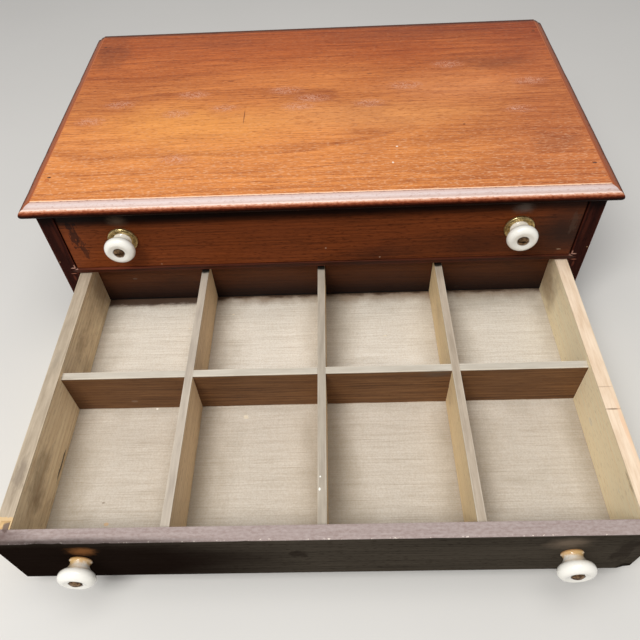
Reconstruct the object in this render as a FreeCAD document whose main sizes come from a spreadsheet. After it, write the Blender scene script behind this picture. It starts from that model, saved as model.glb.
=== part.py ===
"""Two-drawer sewing cabinet: a moulded case with two drawers, each parted into eight compartments.

The origin is the centre of the case's bottom face, +X to the right, the drawers open towards -Y
and +Z is up. Lengths are in millimetres. The lower drawer is modelled pulled out.
"""
import FreeCAD, Part
import math
import os
import Sketcher

SIZES = [
    ("case_width", 552, "over the two side boards"),
    ("case_depth", 323, "side boards, front to back"),
    ("side_board", 16, "thickness of a side board"),
    ("top_board_thickness", 14, ""),
    ("bottom_board_thickness", 18, ""),
    ("back_board_thickness", 7, ""),
    ("back_rabbet", 8, "width of the rabbet that holds the back board in a side board"),
    ("upper_opening", 81, "height of the upper drawer's opening"),
    ("lower_opening", 78, "height of the lower drawer's opening"),
    ("shelf_thickness", 6, "drawer rail and dust board"),
    ("rail_depth", 32, "drawer rail, front to back"),
    ("shelf_housing", 5, "depth of the shelf's housing in a side board"),
    ("rail_point", 7, "how far the rail's pointed end runs into a side board"),
    ("rail_point_depth", 8, "front to back length of the pointed end"),
    ("top_side_overhang", 7, ""),
    ("top_front_overhang", 15, ""),
    ("bottom_side_overhang", 5, ""),
    ("bottom_front_overhang", 8, ""),
    ("quirk_drop", 1, "step between the flat field and the cove"),
    ("cove_drop", 3, "fall of the cove"),
    ("cove_run", 6, "width of the cove"),
    ("cove_radius", 8, ""),
    ("stop_length", 40, "drawer stop, along X"),
    ("stop_width", 14, "drawer stop, along Y"),
    ("stop_thickness", 5, ""),
    ("stop_spread", 150, "from the middle to a stop's centre"),
    ("stop_gap", 0.3, "between a closed drawer front and its stops"),
    ("case_screw_radius", 1.7, ""),
    ("case_screw_head_radius", 3, ""),
    ("case_screw_head", 2, "height of the countersunk head"),
    ("case_screw_length", 34, ""),
    ("case_screw_front", 28, "from a side board's front edge"),
    ("case_screw_back", 30, "from a side board's back edge"),
    ("case_screw_side", 11, "from a side board's outer face"),
    ("plug_thickness", 3, "wooden plug over a top screw"),
    ("brad_thickness", 1.6, "cut brad, short side"),
    ("brad_width", 2.4, "cut brad, long side"),
    ("back_brad_length", 18, ""),
    ("back_brad_margin", 18, "from the back board's top and bottom edge"),
    ("rear_gap", 2, "between a closed drawer and the back board"),
    ("side_gap", 1, "between a drawer and a side board"),
    ("run_gap", 0.3, "under a drawer"),
    ("head_gap", 1.7, "over a drawer"),
    ("front_recess", 1, "drawer front behind the case's front edges"),
    ("front_board", 12, "thickness of a drawer front"),
    ("drawer_side", 13, "thickness of a drawer side"),
    ("drawer_back", 8, "thickness of a drawer back"),
    ("lap_length", 7, "tongue of the drawer front in a drawer side's end"),
    ("lap_thickness", 7.5, ""),
    ("lap_cheek", 1.5, "wood between a tongue and the inside of the drawer"),
    ("panel_thickness", 5, "drawer bottom"),
    ("panel_lift", 12, "drawer bottom above the drawer sides' lower edges"),
    ("panel_groove", 5, "depth of the groove that holds the drawer bottom"),
    ("panel_play", 0.5, "between the drawer bottom and the groove's floor"),
    ("back_lift", 1, "between the drawer bottom and the drawer back"),
    ("back_housing", 4, "depth of the drawer back's housing in a drawer side"),
    ("divider_board", 7.5, "thickness of a divider"),
    ("divider_drop", 5.5, "dividers below the drawer sides' tops"),
    ("divider_housing", 3, "depth of a divider's housing"),
    ("cross_offset", 3, "cross divider behind the drawer's middle"),
    ("drawer_hold", 21, "length of the pulled out lower drawer that stays in the case"),
    ("knob_inset", 60, "from a drawer's end to a knob's centre"),
    ("knob_bore", 2.6, "radius of the screw's hole"),
    ("knob_foot_radius", 9.2, ""),
    ("knob_foot_edge", 0.8, "height of the foot's flange"),
    ("knob_neck_curve", 3.52, "radius of the hollow neck"),
    ("knob_throat_radius", 8.2, "where the neck starts to flare"),
    ("knob_throat_height", 4.8, ""),
    ("knob_flare", 10.4, "radius of the flare from the neck into the head"),
    ("knob_flare_width", 4.4, "how far the flare runs out"),
    ("knob_flare_height", 4.55, ""),
    ("knob_shoulder", 5.7, "radius of the shoulder up to the head's widest ring"),
    ("knob_shoulder_width", 2.7, "how far the shoulder runs out"),
    ("knob_shoulder_height", 4.85, ""),
    ("knob_nose", 5.4, "quarter round from the widest ring in to the rim"),
    ("knob_dish", 1, "fall of the face from the rim to the recess"),
    ("knob_recess_radius", 5.6, "recess for the screw's head"),
    ("knob_recess_depth", 1, ""),
    ("plate_radius", 15, "brass backplate"),
    ("plate_thickness", 1.8, ""),
    ("plate_rim", 3, "width of the rolled rim"),
    ("plate_rim_curve", 1.6, ""),
    ("screw_radius", 2.3, "knob screw"),
    ("screw_tip", 4, ""),
    ("screw_hold", 9, "knob screw in the drawer front"),
    ("screw_head_radius", 5, ""),
    ("screw_head_edge", 1.5, ""),
    ("screw_head_dome", 1.5, ""),
    ("screw_head_curve", 9.1, "radius of the domed head"),
    ("slot_width", 1.3, ""),
    ("slot_depth", 0.6, "below the dome"),
    ("drawer_brad_margin", 14, "outer brads from a joint's top and bottom edge"),
]

doc = FreeCAD.newDocument("SewingCabinet")
sheet = doc.addObject("Spreadsheet::Sheet", "Sizes")


class Length:
    """A number of millimetres with the expression that gives it from the sheet."""

    def __init__(self, value, text):
        self.value = value
        self.text = text

    def __add__(self, other):
        other = length(other)
        return Length(self.value + other.value, f"({self.text} + {other.text})")

    def __sub__(self, other):
        other = length(other)
        return Length(self.value - other.value, f"({self.text} - {other.text})")

    def __mul__(self, factor):
        return Length(self.value * factor, f"({self.text} * {factor})")

    def __truediv__(self, factor):
        return Length(self.value / factor, f"({self.text} / {factor})")

    def __neg__(self):
        return self * -1


def length(size):
    """A plain number or a Length, as a Length."""
    return size if isinstance(size, Length) else Length(float(size), str(float(size)))


def fill_sheet():
    """Writes the driving sizes with their aliases and gives them back by name."""
    sizes = {}
    for row, (name, value, note) in enumerate(SIZES, start=1):
        sheet.set(f"A{row}", name)
        sheet.set(f"B{row}", str(value))
        sheet.set(f"C{row}", note)
        sheet.setAlias(f"B{row}", name)
        sizes[name] = Length(float(value), f"Sizes.{name}")
    doc.recompute()
    return sizes


S = fill_sheet()
ZERO = length(0)

# Levels and faces that several pieces share.
SIDE_FOOT = S["bottom_board_thickness"]
SHELF_LOW = SIDE_FOOT + S["lower_opening"]
SHELF_HIGH = SHELF_LOW + S["shelf_thickness"]
SIDE_HEAD = SHELF_HIGH + S["upper_opening"]
CASE_HEAD = SIDE_HEAD + S["top_board_thickness"]
CASE_FRONT = -S["case_depth"] / 2
CASE_BACK = S["case_depth"] / 2
OUTER_X = S["case_width"] / 2
OPENING_X = OUTER_X - S["side_board"]
BACK_FACE = CASE_BACK - S["back_board_thickness"]
DRAWER_X = OPENING_X - S["side_gap"]
DRAWER_LENGTH = BACK_FACE - CASE_FRONT - S["front_recess"] - S["rear_gap"]
PULL_OUT = DRAWER_LENGTH - S["drawer_hold"]
WELL_X = DRAWER_X - S["drawer_side"]
KNOB_X = DRAWER_X - S["knob_inset"]


# ---------------------------------------------------------------- building helpers

def name_piece(piece, label):
    """Gives a finished piece the label that names its node."""
    piece.Label = label
    PIECES.append(piece)
    return piece


def place(item, x, y, z):
    """Binds an object's position to three lengths."""
    for axis, where in zip("xyz", (x, y, z)):
        item.setExpression(f"Placement.Base.{axis}", length(where).text)


def box(name, low, high):
    """A board between two opposite corners."""
    item = doc.addObject("Part::Box", name)
    sides = [length(b) - a for a, b in zip(low, high)]
    for side, size in zip(("Length", "Width", "Height"), sides):
        item.setExpression(side, size.text)
    place(item, *low)
    return item


def rod(name, radius, start, end, x, along, other):
    """A round bar along Y (along='Y', other is its Z) or along Z (other is its Y)."""
    item = doc.addObject("Part::Cylinder", name)
    item.setExpression("Radius", length(radius).text)
    item.setExpression("Height", (length(end) - start).text)
    if along == "Y":
        item.Placement = FreeCAD.Placement(FreeCAD.Vector(), FreeCAD.Rotation(FreeCAD.Vector(1, 0, 0), -90))
        place(item, x, start, other)
    else:
        place(item, x, other, start)
    return item


def group(name, items):
    """Separate solids that share one object."""
    item = doc.addObject("Part::Compound", name)
    item.Links = items
    return item


def cut(name, board, tools):
    """A board with its grooves, housings and holes taken out."""
    item = doc.addObject("Part::Cut", name)
    item.Base = board
    item.Tool = tools[0] if len(tools) == 1 else group(name + "Cutters", tools)
    return item


def fuse(name, items):
    """Several primitives as one solid."""
    item = doc.addObject("Part::MultiFuse", name)
    item.Shapes = items
    item.Refine = True
    return item


def origin_plane(body, role):
    """One of a body's own origin planes."""
    return next(item for item in body.Origin.OriginFeatures if item.Role == role)


def arc_between(start, end, radius, turn):
    """The short arc from start to end; turn is +1 where it bulges to the left of that direction."""
    chord = end - start
    half = chord.Length / 2
    across = FreeCAD.Vector(-chord.y, chord.x, 0).normalize()
    centre = start + chord / 2 - across * turn * math.sqrt(radius**2 - half**2)
    middle = centre + across * turn * radius
    return Part.Arc(start, middle, end)


def outline(body, name, role, corners, arcs=(), level=None):
    """A closed sketch whose corners and arc radii are bound to the sheet.

    corners are (across, up) lengths; arcs maps the index of the corner that an arc starts at
    to (radius, turn). level lifts the sketch off its plane.
    """
    sketch = body.newObject("Sketcher::SketchObject", name)
    sketch.AttachmentSupport = [(origin_plane(body, role), "")]
    sketch.MapMode = "FlatFace"
    if level is not None:
        sketch.setExpression("AttachmentOffset.Base.z", level.text)
    arcs = dict(arcs)
    points = [FreeCAD.Vector(length(u).value, length(v).value, 0) for u, v in corners]
    starts = []
    ends = []
    for index, point in enumerate(points):
        following = points[(index + 1) % len(points)]
        if index in arcs:
            radius, turn = arcs[index]
            curve = arc_between(point, following, radius.value, turn)
        else:
            curve = Part.LineSegment(point, following)
        edge = sketch.addGeometry(curve)
        forward = sketch.getPoint(edge, 1).isEqual(point, 1e-6)
        starts.append((edge, 1 if forward else 2))
        ends.append((edge, 2 if forward else 1))
    for index, (u, v) in enumerate(corners):
        sketch.addConstraint(Sketcher.Constraint("Coincident", *ends[index - 1], *starts[index]))
        for kind, size in (("DistanceX", length(u)), ("DistanceY", length(v))):
            bound = sketch.addConstraint(Sketcher.Constraint(kind, -1, 1, *starts[index], size.value))
            sketch.setExpression(f"Constraints[{bound}]", size.text)
        if index in arcs:
            radius = arcs[index][0]
            bound = sketch.addConstraint(Sketcher.Constraint("Radius", starts[index][0], radius.value))
            sketch.setExpression(f"Constraints[{bound}]", radius.text)
    return sketch


def turned(name, corners, arcs=()):
    """A body turned about its own Y axis; corners are (radius, how far out towards -Y)."""
    body = doc.addObject("PartDesign::Body", name)
    profile = outline(body, name + "Profile", "XY_Plane", [(r, -length(out)) for r, out in corners], arcs)
    turning = body.newObject("PartDesign::Revolution", name + "Turning")
    turning.Profile = profile
    turning.ReferenceAxis = (profile, ["V_Axis"])
    turning.Angle = 360
    return body


# ---------------------------------------------------------------- the case

def moulded_board(name, foot, thickness, side_overhang, front_overhang):
    """A board with a quirk, cove and bead run along its front and both ends, square at the back."""
    bead = (thickness - S["quirk_drop"] - S["cove_drop"]) / 2
    end_x = OUTER_X + side_overhang
    front_y = CASE_FRONT - front_overhang
    head = foot + thickness
    spare = S["side_board"]
    body = doc.addObject("PartDesign::Body", name)

    # The front profile, seen along X.
    field = front_y + bead + S["cove_run"]
    cove_foot = front_y + bead
    bead_head = head - S["quirk_drop"] - S["cove_drop"]
    profile = outline(body, name + "Front", "YZ_Plane", [
        (CASE_BACK, foot),
        (CASE_BACK, head),
        (field, head),
        (field, head - S["quirk_drop"]),
        (cove_foot, bead_head),
        (front_y, bead_head - bead),
        (cove_foot, foot),
    ], {3: (S["cove_radius"], 1), 4: (bead, -1), 5: (bead, -1)})
    plank = body.newObject("PartDesign::Pad", name + "Plank")
    plank.Profile = profile
    plank.SideType = "Symmetric"
    plank.setExpression("Length", ((end_x + spare) * 2).text)

    # The same profile cut into the right end and mirrored to the left.
    field = end_x - bead - S["cove_run"]
    cove_foot = end_x - bead
    waste = outline(body, name + "Waste", "XZ_Plane", [
        (field, head + spare),
        (field, head - S["quirk_drop"]),
        (cove_foot, bead_head),
        (end_x, bead_head - bead),
        (cove_foot, foot),
        (cove_foot, foot - spare),
        (end_x + spare * 2, foot - spare),
        (end_x + spare * 2, head + spare),
    ], {1: (S["cove_radius"], -1), 2: (bead, 1), 3: (bead, 1)})
    run = body.newObject("PartDesign::Pocket", name + "EndMoulding")
    run.Profile = waste
    run.SideType = "Symmetric"
    run.setExpression("Length", (S["case_depth"] * 2 + front_overhang * 2).text)
    mirror = body.newObject("PartDesign::Mirrored", name + "BothEnds")
    mirror.Originals = [run]
    mirror.MirrorPlane = (origin_plane(body, "YZ_Plane"), [""])
    body.Tip = mirror
    return body


def case_screws(name, head_level, into):
    """Four countersunk screws through the top or bottom board into the side boards' ends."""
    screws = []
    rows = (CASE_FRONT + S["case_screw_front"], CASE_BACK - S["case_screw_back"])
    for x in (-OUTER_X + S["case_screw_side"], OUTER_X - S["case_screw_side"]):
        for y in rows:
            tag = f"{name}{len(screws)}"
            tip = head_level + S["case_screw_length"] * into
            low, high = (head_level, tip) if into > 0 else (tip, head_level)
            shank = rod(tag + "Shank", S["case_screw_radius"], low, high, x, "Z", y)
            head = doc.addObject("Part::Cone", tag + "Head")
            narrow, wide = S["case_screw_radius"], S["case_screw_head_radius"]
            head.setExpression("Radius1", (wide if into > 0 else narrow).text)
            head.setExpression("Radius2", (narrow if into > 0 else wide).text)
            head.setExpression("Height", S["case_screw_head"].text)
            place(head, x, y, head_level if into > 0 else head_level - S["case_screw_head"])
            screws.append(fuse(tag, [shank, head]))
    return group(name, screws)


def top_plugs():
    """Wooden plugs that fill the screw holes flush with the top's face."""
    rows = (CASE_FRONT + S["case_screw_front"], CASE_BACK - S["case_screw_back"])
    plugs = []
    for x in (-OUTER_X + S["case_screw_side"], OUTER_X - S["case_screw_side"]):
        for y in rows:
            foot = CASE_HEAD - S["plug_thickness"]
            plugs.append(rod(f"Plug{len(plugs)}", S["case_screw_head_radius"], foot, CASE_HEAD, x, "Z", y))
    return group("TopPlugs", plugs)


def drawer_rail(name):
    """The slim rail between the drawers: points at its front corners, square ends behind them."""
    body = doc.addObject("PartDesign::Body", name)
    place(body, 0, CASE_FRONT, 0)
    middle = SHELF_LOW + S["shelf_thickness"] / 2
    tip = OPENING_X + S["rail_point"]
    face = outline(body, name + "Face", "XZ_Plane", [
        (-OPENING_X, SHELF_LOW),
        (OPENING_X, SHELF_LOW),
        (tip, middle),
        (OPENING_X, SHELF_HIGH),
        (-OPENING_X, SHELF_HIGH),
        (-tip, middle),
    ])
    nose = body.newObject("PartDesign::Pad", name + "Nose")
    nose.Profile = face
    nose.Reversed = True
    nose.setExpression("Length", S["rail_point_depth"].text)
    end = OPENING_X + S["shelf_housing"]
    plan = outline(body, name + "Plan", "XY_Plane", [
        (-end, S["rail_point_depth"]),
        (end, S["rail_point_depth"]),
        (end, S["rail_depth"]),
        (-end, S["rail_depth"]),
    ], level=SHELF_LOW)
    strip = body.newObject("PartDesign::Pad", name + "Strip")
    strip.Profile = plan
    strip.setExpression("Length", S["shelf_thickness"].text)
    body.Tip = strip
    return body


def back_brads():
    """Eight cut brads through the back board into the side boards' rabbets, clear of the dust board."""
    brads = []
    low = SIDE_FOOT + S["back_brad_margin"]
    high = SIDE_HEAD - S["back_brad_margin"]
    x = OPENING_X + S["back_rabbet"] / 2
    for z in (low, (low * 2 + high) / 3, (low + high * 2) / 3, high):
        for centre in (-x, x):
            brads.append(box(
                f"BackBrad{len(brads)}",
                (centre - S["brad_thickness"] / 2,
                 CASE_BACK - S["back_brad_length"],
                 z - S["brad_width"] / 2),
                (centre + S["brad_thickness"] / 2, CASE_BACK, z + S["brad_width"] / 2),
            ))
    return group("BackBrads", brads)


def drawer_stops(name, floor):
    """Two blocks behind a closed drawer front, under the drawer bottom."""
    front = CASE_FRONT + S["front_recess"] + S["front_board"] + S["stop_gap"]
    stops = []
    for centre in (-S["stop_spread"], S["stop_spread"]):
        stops.append(box(
            f"{name}{len(stops)}",
            (centre - S["stop_length"] / 2, front, floor),
            (centre + S["stop_length"] / 2, front + S["stop_width"], floor + S["stop_thickness"]),
        ))
    return group(name, stops)


def build_case():
    """The boards, rail, stops and fasteners that stay still."""
    screws_above = case_screws("TopScrews", CASE_HEAD - S["plug_thickness"], -1)
    screws_below = case_screws("BottomScrews", ZERO, 1)
    plugs = top_plugs()
    brads = back_brads()

    top = moulded_board(
        "TopBoard", SIDE_HEAD, S["top_board_thickness"], S["top_side_overhang"], S["top_front_overhang"])
    name_piece(cut("TopPlank", top, [screws_above, plugs]), "top_board")
    bottom = moulded_board(
        "BottomBoard", ZERO, S["bottom_board_thickness"], S["bottom_side_overhang"],
        S["bottom_front_overhang"])
    name_piece(cut("BottomPlank", bottom, [screws_below]), "bottom_board")

    rail = name_piece(drawer_rail("DrawerRail"), "drawer_rail")
    shelf_end = OPENING_X + S["shelf_housing"]
    dust = name_piece(box(
        "DustBoard",
        (-shelf_end, CASE_FRONT + S["rail_depth"], SHELF_LOW),
        (shelf_end, BACK_FACE, SHELF_HIGH),
    ), "dust_board")
    rabbet = OPENING_X + S["back_rabbet"]
    back = box("BackPlank", (-rabbet, BACK_FACE, SIDE_FOOT), (rabbet, CASE_BACK, SIDE_HEAD))
    name_piece(cut("BackBoard", back, [brads]), "back_board")

    for label, inner, outer in (("left_side", -OPENING_X, -OUTER_X), ("right_side", OPENING_X, OUTER_X)):
        low, high = sorted((inner, outer), key=lambda size: size.value)
        board = box(label + "_board", (low, CASE_FRONT, SIDE_FOOT), (high, CASE_BACK, SIDE_HEAD))
        cutters = [rail, dust, back, brads, screws_above, screws_below]
        name_piece(cut(label + "_cut", board, cutters), label)

    name_piece(drawer_stops("UpperStops", SHELF_HIGH), "upper_drawer_stops")
    name_piece(drawer_stops("LowerStops", SIDE_FOOT), "lower_drawer_stops")
    name_piece(screws_above, "top_screws")
    name_piece(screws_below, "bottom_screws")
    name_piece(plugs, "top_plugs")
    name_piece(brads, "back_brads")


# ---------------------------------------------------------------- knobs

KNOB_FLARE_END = S["knob_throat_height"] + S["knob_flare_height"]
KNOB_WIDEST = KNOB_FLARE_END + S["knob_shoulder_height"]
KNOB_RIM = KNOB_WIDEST + S["knob_nose"]
KNOB_SEAT = KNOB_RIM - S["knob_dish"] - S["knob_recess_depth"]


def knob(name):
    """A white china knob with a flared foot, hollow neck and a recess for its screw."""
    flare_end = S["knob_throat_radius"] + S["knob_flare_width"]
    widest = flare_end + S["knob_shoulder_width"]
    return turned(name, [
        (S["knob_bore"], ZERO),
        (S["knob_foot_radius"], ZERO),
        (S["knob_foot_radius"], S["knob_foot_edge"]),
        (S["knob_throat_radius"], S["knob_throat_height"]),
        (flare_end, KNOB_FLARE_END),
        (widest, KNOB_WIDEST),
        (widest - S["knob_nose"], KNOB_RIM),
        (S["knob_recess_radius"], KNOB_RIM - S["knob_dish"]),
        (S["knob_recess_radius"], KNOB_SEAT),
        (S["knob_bore"], KNOB_SEAT),
    ], {
        2: (S["knob_neck_curve"], -1),
        3: (S["knob_flare"], -1),
        4: (S["knob_shoulder"], 1),
        5: (S["knob_nose"], 1),
    })


def backplate(name):
    """A thin brass disc with a rolled rim, under a knob's foot."""
    return turned(name, [
        (S["knob_bore"], ZERO),
        (S["plate_radius"], ZERO),
        (S["plate_radius"], S["plate_thickness"]),
        (S["plate_radius"] - S["plate_rim"], S["plate_thickness"]),
        (S["knob_bore"], S["plate_thickness"]),
    ], {2: (S["plate_rim_curve"], 1)})


def knob_screw(name, standoff):
    """A slotted wood screw; its head sits in the knob's recess and its point in the drawer front."""
    seat = standoff + KNOB_SEAT
    edge = seat + S["screw_head_edge"]
    top = edge + S["screw_head_dome"]
    body = turned(name, [
        (ZERO, -S["screw_hold"]),
        (S["screw_radius"], -S["screw_hold"] + S["screw_tip"]),
        (S["screw_radius"], seat),
        (S["screw_head_radius"], seat),
        (S["screw_head_radius"], edge),
        (ZERO, top),
    ], {4: (S["screw_head_curve"], 1)})
    half = S["slot_width"] / 2
    reach = S["knob_recess_radius"]
    slot = outline(body, name + "SlotOutline", "XZ_Plane", [
        (-reach, -half), (reach, -half), (reach, half), (-reach, half),
    ], level=top)
    groove = body.newObject("PartDesign::Pocket", name + "Slot")
    groove.Profile = slot
    groove.setExpression("Length", (S["slot_depth"] + S["screw_head_dome"]).text)
    body.Tip = groove
    return body


# ---------------------------------------------------------------- drawers

class Drawer:
    """One drawer, from the place and height of its front."""

    def __init__(self, prefix, floor, opening, pulled):
        self.prefix = prefix
        self.front = CASE_FRONT + S["front_recess"] - pulled
        self.foot = floor + S["run_gap"]
        self.head = floor + opening - S["head_gap"]
        self.front_back = self.front + S["front_board"]
        self.rear = self.front + DRAWER_LENGTH
        self.back_front = self.rear - S["drawer_back"]
        self.panel_foot = self.foot + S["panel_lift"]
        self.panel_head = self.panel_foot + S["panel_thickness"]
        self.divider_head = self.head - S["divider_drop"]
        middle = (self.front_back + self.back_front) / 2 + S["cross_offset"]
        self.cross_low = middle - S["divider_board"] / 2
        self.cross_high = middle + S["divider_board"] / 2

    def part(self, name):
        """The internal name of one of this drawer's objects."""
        return f"{self.prefix}_{name}"

    def name_piece(self, piece, name):
        """Labels one of this drawer's finished pieces."""
        return name_piece(piece, self.part(name))

    def panel_groove(self):
        """The space that the drawer bottom's grooves take out of the front and sides."""
        end = WELL_X + S["panel_groove"]
        low = (-end, self.front_back - S["panel_groove"], self.panel_foot)
        return box(self.part("groove"), low, (end, self.rear, self.panel_head))

    def brads(self):
        """Cut brads through the drawer sides into the front's tongues and into the back."""
        brads = []
        rows = (
            (self.front_back + S["lap_length"] / 2, S["drawer_side"] - S["lap_cheek"] - S["brad_thickness"]),
            (self.back_front + S["drawer_back"] / 2, S["back_brad_length"]),
        )
        low = self.panel_head + S["back_lift"] + S["drawer_brad_margin"]
        high = self.head - S["drawer_brad_margin"]
        for y, long in rows:
            for z in (low, high):
                for start, end in ((-DRAWER_X, -DRAWER_X + long), (DRAWER_X - long, DRAWER_X)):
                    brads.append(box(
                        self.part(f"brad{len(brads)}"),
                        (start, y - S["brad_thickness"] / 2, z - S["brad_width"] / 2),
                        (end, y + S["brad_thickness"] / 2, z + S["brad_width"] / 2),
                    ))
        return group(self.part("brad_group"), brads)

    def dividers(self):
        """Three long dividers and a cross divider, halved where they cross."""
        pitch = (WELL_X * 2 - S["divider_board"] * 3) / 4 + S["divider_board"]
        half = S["divider_board"] / 2
        waist = (self.panel_head + self.divider_head) / 2
        low_y = self.front_back - S["divider_housing"]
        high_y = self.back_front + S["divider_housing"]
        end = WELL_X + S["divider_housing"]
        places = (("left", -pitch), ("middle", ZERO), ("right", pitch))
        long_boards = []
        notches = []
        for side, x in places:
            long_boards.append(box(
                self.part(side + "_divider_board"),
                (x - half, low_y, self.panel_head), (x + half, high_y, self.divider_head)))
            notches.append(box(
                self.part(side + "_notch"), (x - half, self.cross_low, waist),
                (x + half, self.cross_high, self.divider_head)))
        crossing = box(
            self.part("cross_space"), (-end, self.cross_low, self.panel_head), (end, self.cross_high, waist))
        for (side, _), board in zip(places, long_boards):
            self.name_piece(cut(self.part(side + "_divider_cut"), board, [crossing]), side + "_divider")
        cross = box(
            self.part("cross_board"), (-end, self.cross_low, self.panel_head),
            (end, self.cross_high, self.divider_head))
        self.name_piece(cut(self.part("cross_cut"), cross, notches), "cross_divider")
        return long_boards, cross

    def knobs(self, with_plates):
        """Knobs, their screws and, where the drawer has them, brass backplates."""
        level = (self.foot + self.head) / 2
        standoff = S["plate_thickness"] if with_plates else ZERO
        holes = []
        for side, x in (("left", -KNOB_X), ("right", KNOB_X)):
            handle = knob(self.part(side + "_knob_body"))
            place(handle, x, self.front - standoff, level)
            self.name_piece(handle, side + "_knob")
            screw = knob_screw(self.part(side + "_screw_body"), standoff)
            place(screw, x, self.front, level)
            self.name_piece(screw, side + "_knob_screw")
            if with_plates:
                plate = backplate(self.part(side + "_plate_body"))
                place(plate, x, self.front, level)
                self.name_piece(plate, side + "_backplate")
            holes.append(rod(
                self.part(side + "_screw_hole"), S["screw_radius"], self.front,
                self.front + S["screw_hold"], x, "Y", level))
        return holes

    def build(self, with_plates):
        """The drawer box, its dividers and its fittings."""
        groove = self.panel_groove()
        brads = self.brads()
        long_boards, cross = self.dividers()
        holes = self.knobs(with_plates)

        plank = box(
            self.part("front_plank"),
            (-DRAWER_X, self.front, self.foot),
            (DRAWER_X, self.front_back, self.head))
        lap_start = WELL_X + S["lap_cheek"]
        lap_end = lap_start + S["lap_thickness"]
        tongues = [
            box(self.part(side + "_tongue"), (low, self.front_back, self.foot),
                (high, self.front_back + S["lap_length"], self.head))
            for side, low, high in (("left", -lap_end, -lap_start), ("right", lap_start, lap_end))
        ]
        front = fuse(self.part("front_with_tongues"), [plank] + tongues)
        cutters = [groove, brads] + long_boards + holes
        self.name_piece(cut(self.part("front_cut"), front, cutters), "drawer_front")

        back_end = WELL_X + S["back_housing"]
        back_foot = self.panel_head + S["back_lift"]
        back = box(
            self.part("back_plank"),
            (-back_end, self.back_front, back_foot),
            (back_end, self.rear, self.head))
        slots = [
            box(self.part(f"slot{index}"), (x - S["divider_board"] / 2, self.back_front, back_foot),
                (x + S["divider_board"] / 2, self.back_front + S["divider_housing"], self.head))
            for index, x in enumerate(self.divider_places())
        ]
        self.name_piece(cut(self.part("back_cut"), back, [brads] + slots), "drawer_back")

        for side, low, high in (("left", -DRAWER_X, -WELL_X), ("right", WELL_X, DRAWER_X)):
            board = box(
                self.part(side + "_board"), (low, self.front_back, self.foot), (high, self.rear, self.head))
            cutters = [groove, brads, back, cross] + tongues
            self.name_piece(cut(self.part(side + "_cut"), board, cutters), side + "_drawer_side")

        edge = WELL_X + S["panel_groove"] - S["panel_play"]
        panel = box(
            self.part("panel"),
            (-edge, self.front_back - S["panel_groove"] + S["panel_play"], self.panel_foot),
            (edge, self.rear, self.panel_head))
        self.name_piece(panel, "drawer_bottom")
        self.name_piece(brads, "drawer_brads")

    def divider_places(self):
        """The three long dividers' centres along X."""
        pitch = (WELL_X * 2 - S["divider_board"] * 3) / 4 + S["divider_board"]
        return (-pitch, ZERO, pitch)


# ---------------------------------------------------------------- build, check and write

def check_and_write():
    """Stops on anything that failed, then writes each piece to its own file."""
    doc.recompute()
    for item in doc.Objects:
        if "Invalid" in item.State or "Error" in item.State:
            raise RuntimeError(f"{item.Label} failed: {item.State}")
    os.makedirs("parts", exist_ok=True)
    for piece in PIECES:
        if piece.Shape.isNull() or not piece.Shape.isValid():
            raise RuntimeError(f"{piece.Label} has no valid shape")
        piece.Shape.exportStep(f"parts/{piece.Label}.step")
    print(len(PIECES), "pieces written")


PIECES = []
build_case()
Drawer("upper", SHELF_HIGH, S["upper_opening"], ZERO).build(with_plates=True)
Drawer("lower", SIDE_FOOT, S["lower_opening"], PULL_OUT).build(with_plates=False)
check_and_write()
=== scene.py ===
"""Finishes for a sewing box with two drawers: worn boards, china knobs, brass plates, aged wood.

Lengths are in metres in the part's own frame, and marks are given in millimetres: the case's
bottom face is at z = 0, the drawers open towards -Y and the lower drawer is pulled out.
"""
import math
import bmesh
import bpy
from mathutils import Matrix, Vector, noise


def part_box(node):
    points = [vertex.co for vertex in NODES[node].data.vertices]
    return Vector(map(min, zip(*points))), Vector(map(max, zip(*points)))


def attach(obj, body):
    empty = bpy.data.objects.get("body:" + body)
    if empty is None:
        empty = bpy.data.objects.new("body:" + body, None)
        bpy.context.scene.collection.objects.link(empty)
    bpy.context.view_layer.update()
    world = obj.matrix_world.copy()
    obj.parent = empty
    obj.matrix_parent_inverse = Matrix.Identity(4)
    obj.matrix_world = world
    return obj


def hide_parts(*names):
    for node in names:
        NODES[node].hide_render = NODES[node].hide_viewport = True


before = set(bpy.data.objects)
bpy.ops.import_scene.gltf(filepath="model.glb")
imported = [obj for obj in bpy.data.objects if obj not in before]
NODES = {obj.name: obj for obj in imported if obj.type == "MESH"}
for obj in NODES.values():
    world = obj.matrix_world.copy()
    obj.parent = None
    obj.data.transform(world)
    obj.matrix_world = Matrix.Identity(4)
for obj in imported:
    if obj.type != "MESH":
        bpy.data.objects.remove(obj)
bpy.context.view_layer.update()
MM = 0.001


def shown(red, green, blue):
    """A colour written as it looks on a screen, 0 to 255, as the linear value that shaders use."""
    linear = []
    for part in (red, green, blue):
        part /= 255
        linear.append(part / 12.92 if part <= 0.04045 else ((part + 0.055) / 1.055) ** 2.4)
    return (*linear, 1.0)


def toned(colour):
    """Three plain numbers are a colour as shown; four numbers or a socket are ready for a shader."""
    return shown(*colour) if isinstance(colour, tuple) and len(colour) == 3 else colour


# ---------------------------------------------------------------- shader building

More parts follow.
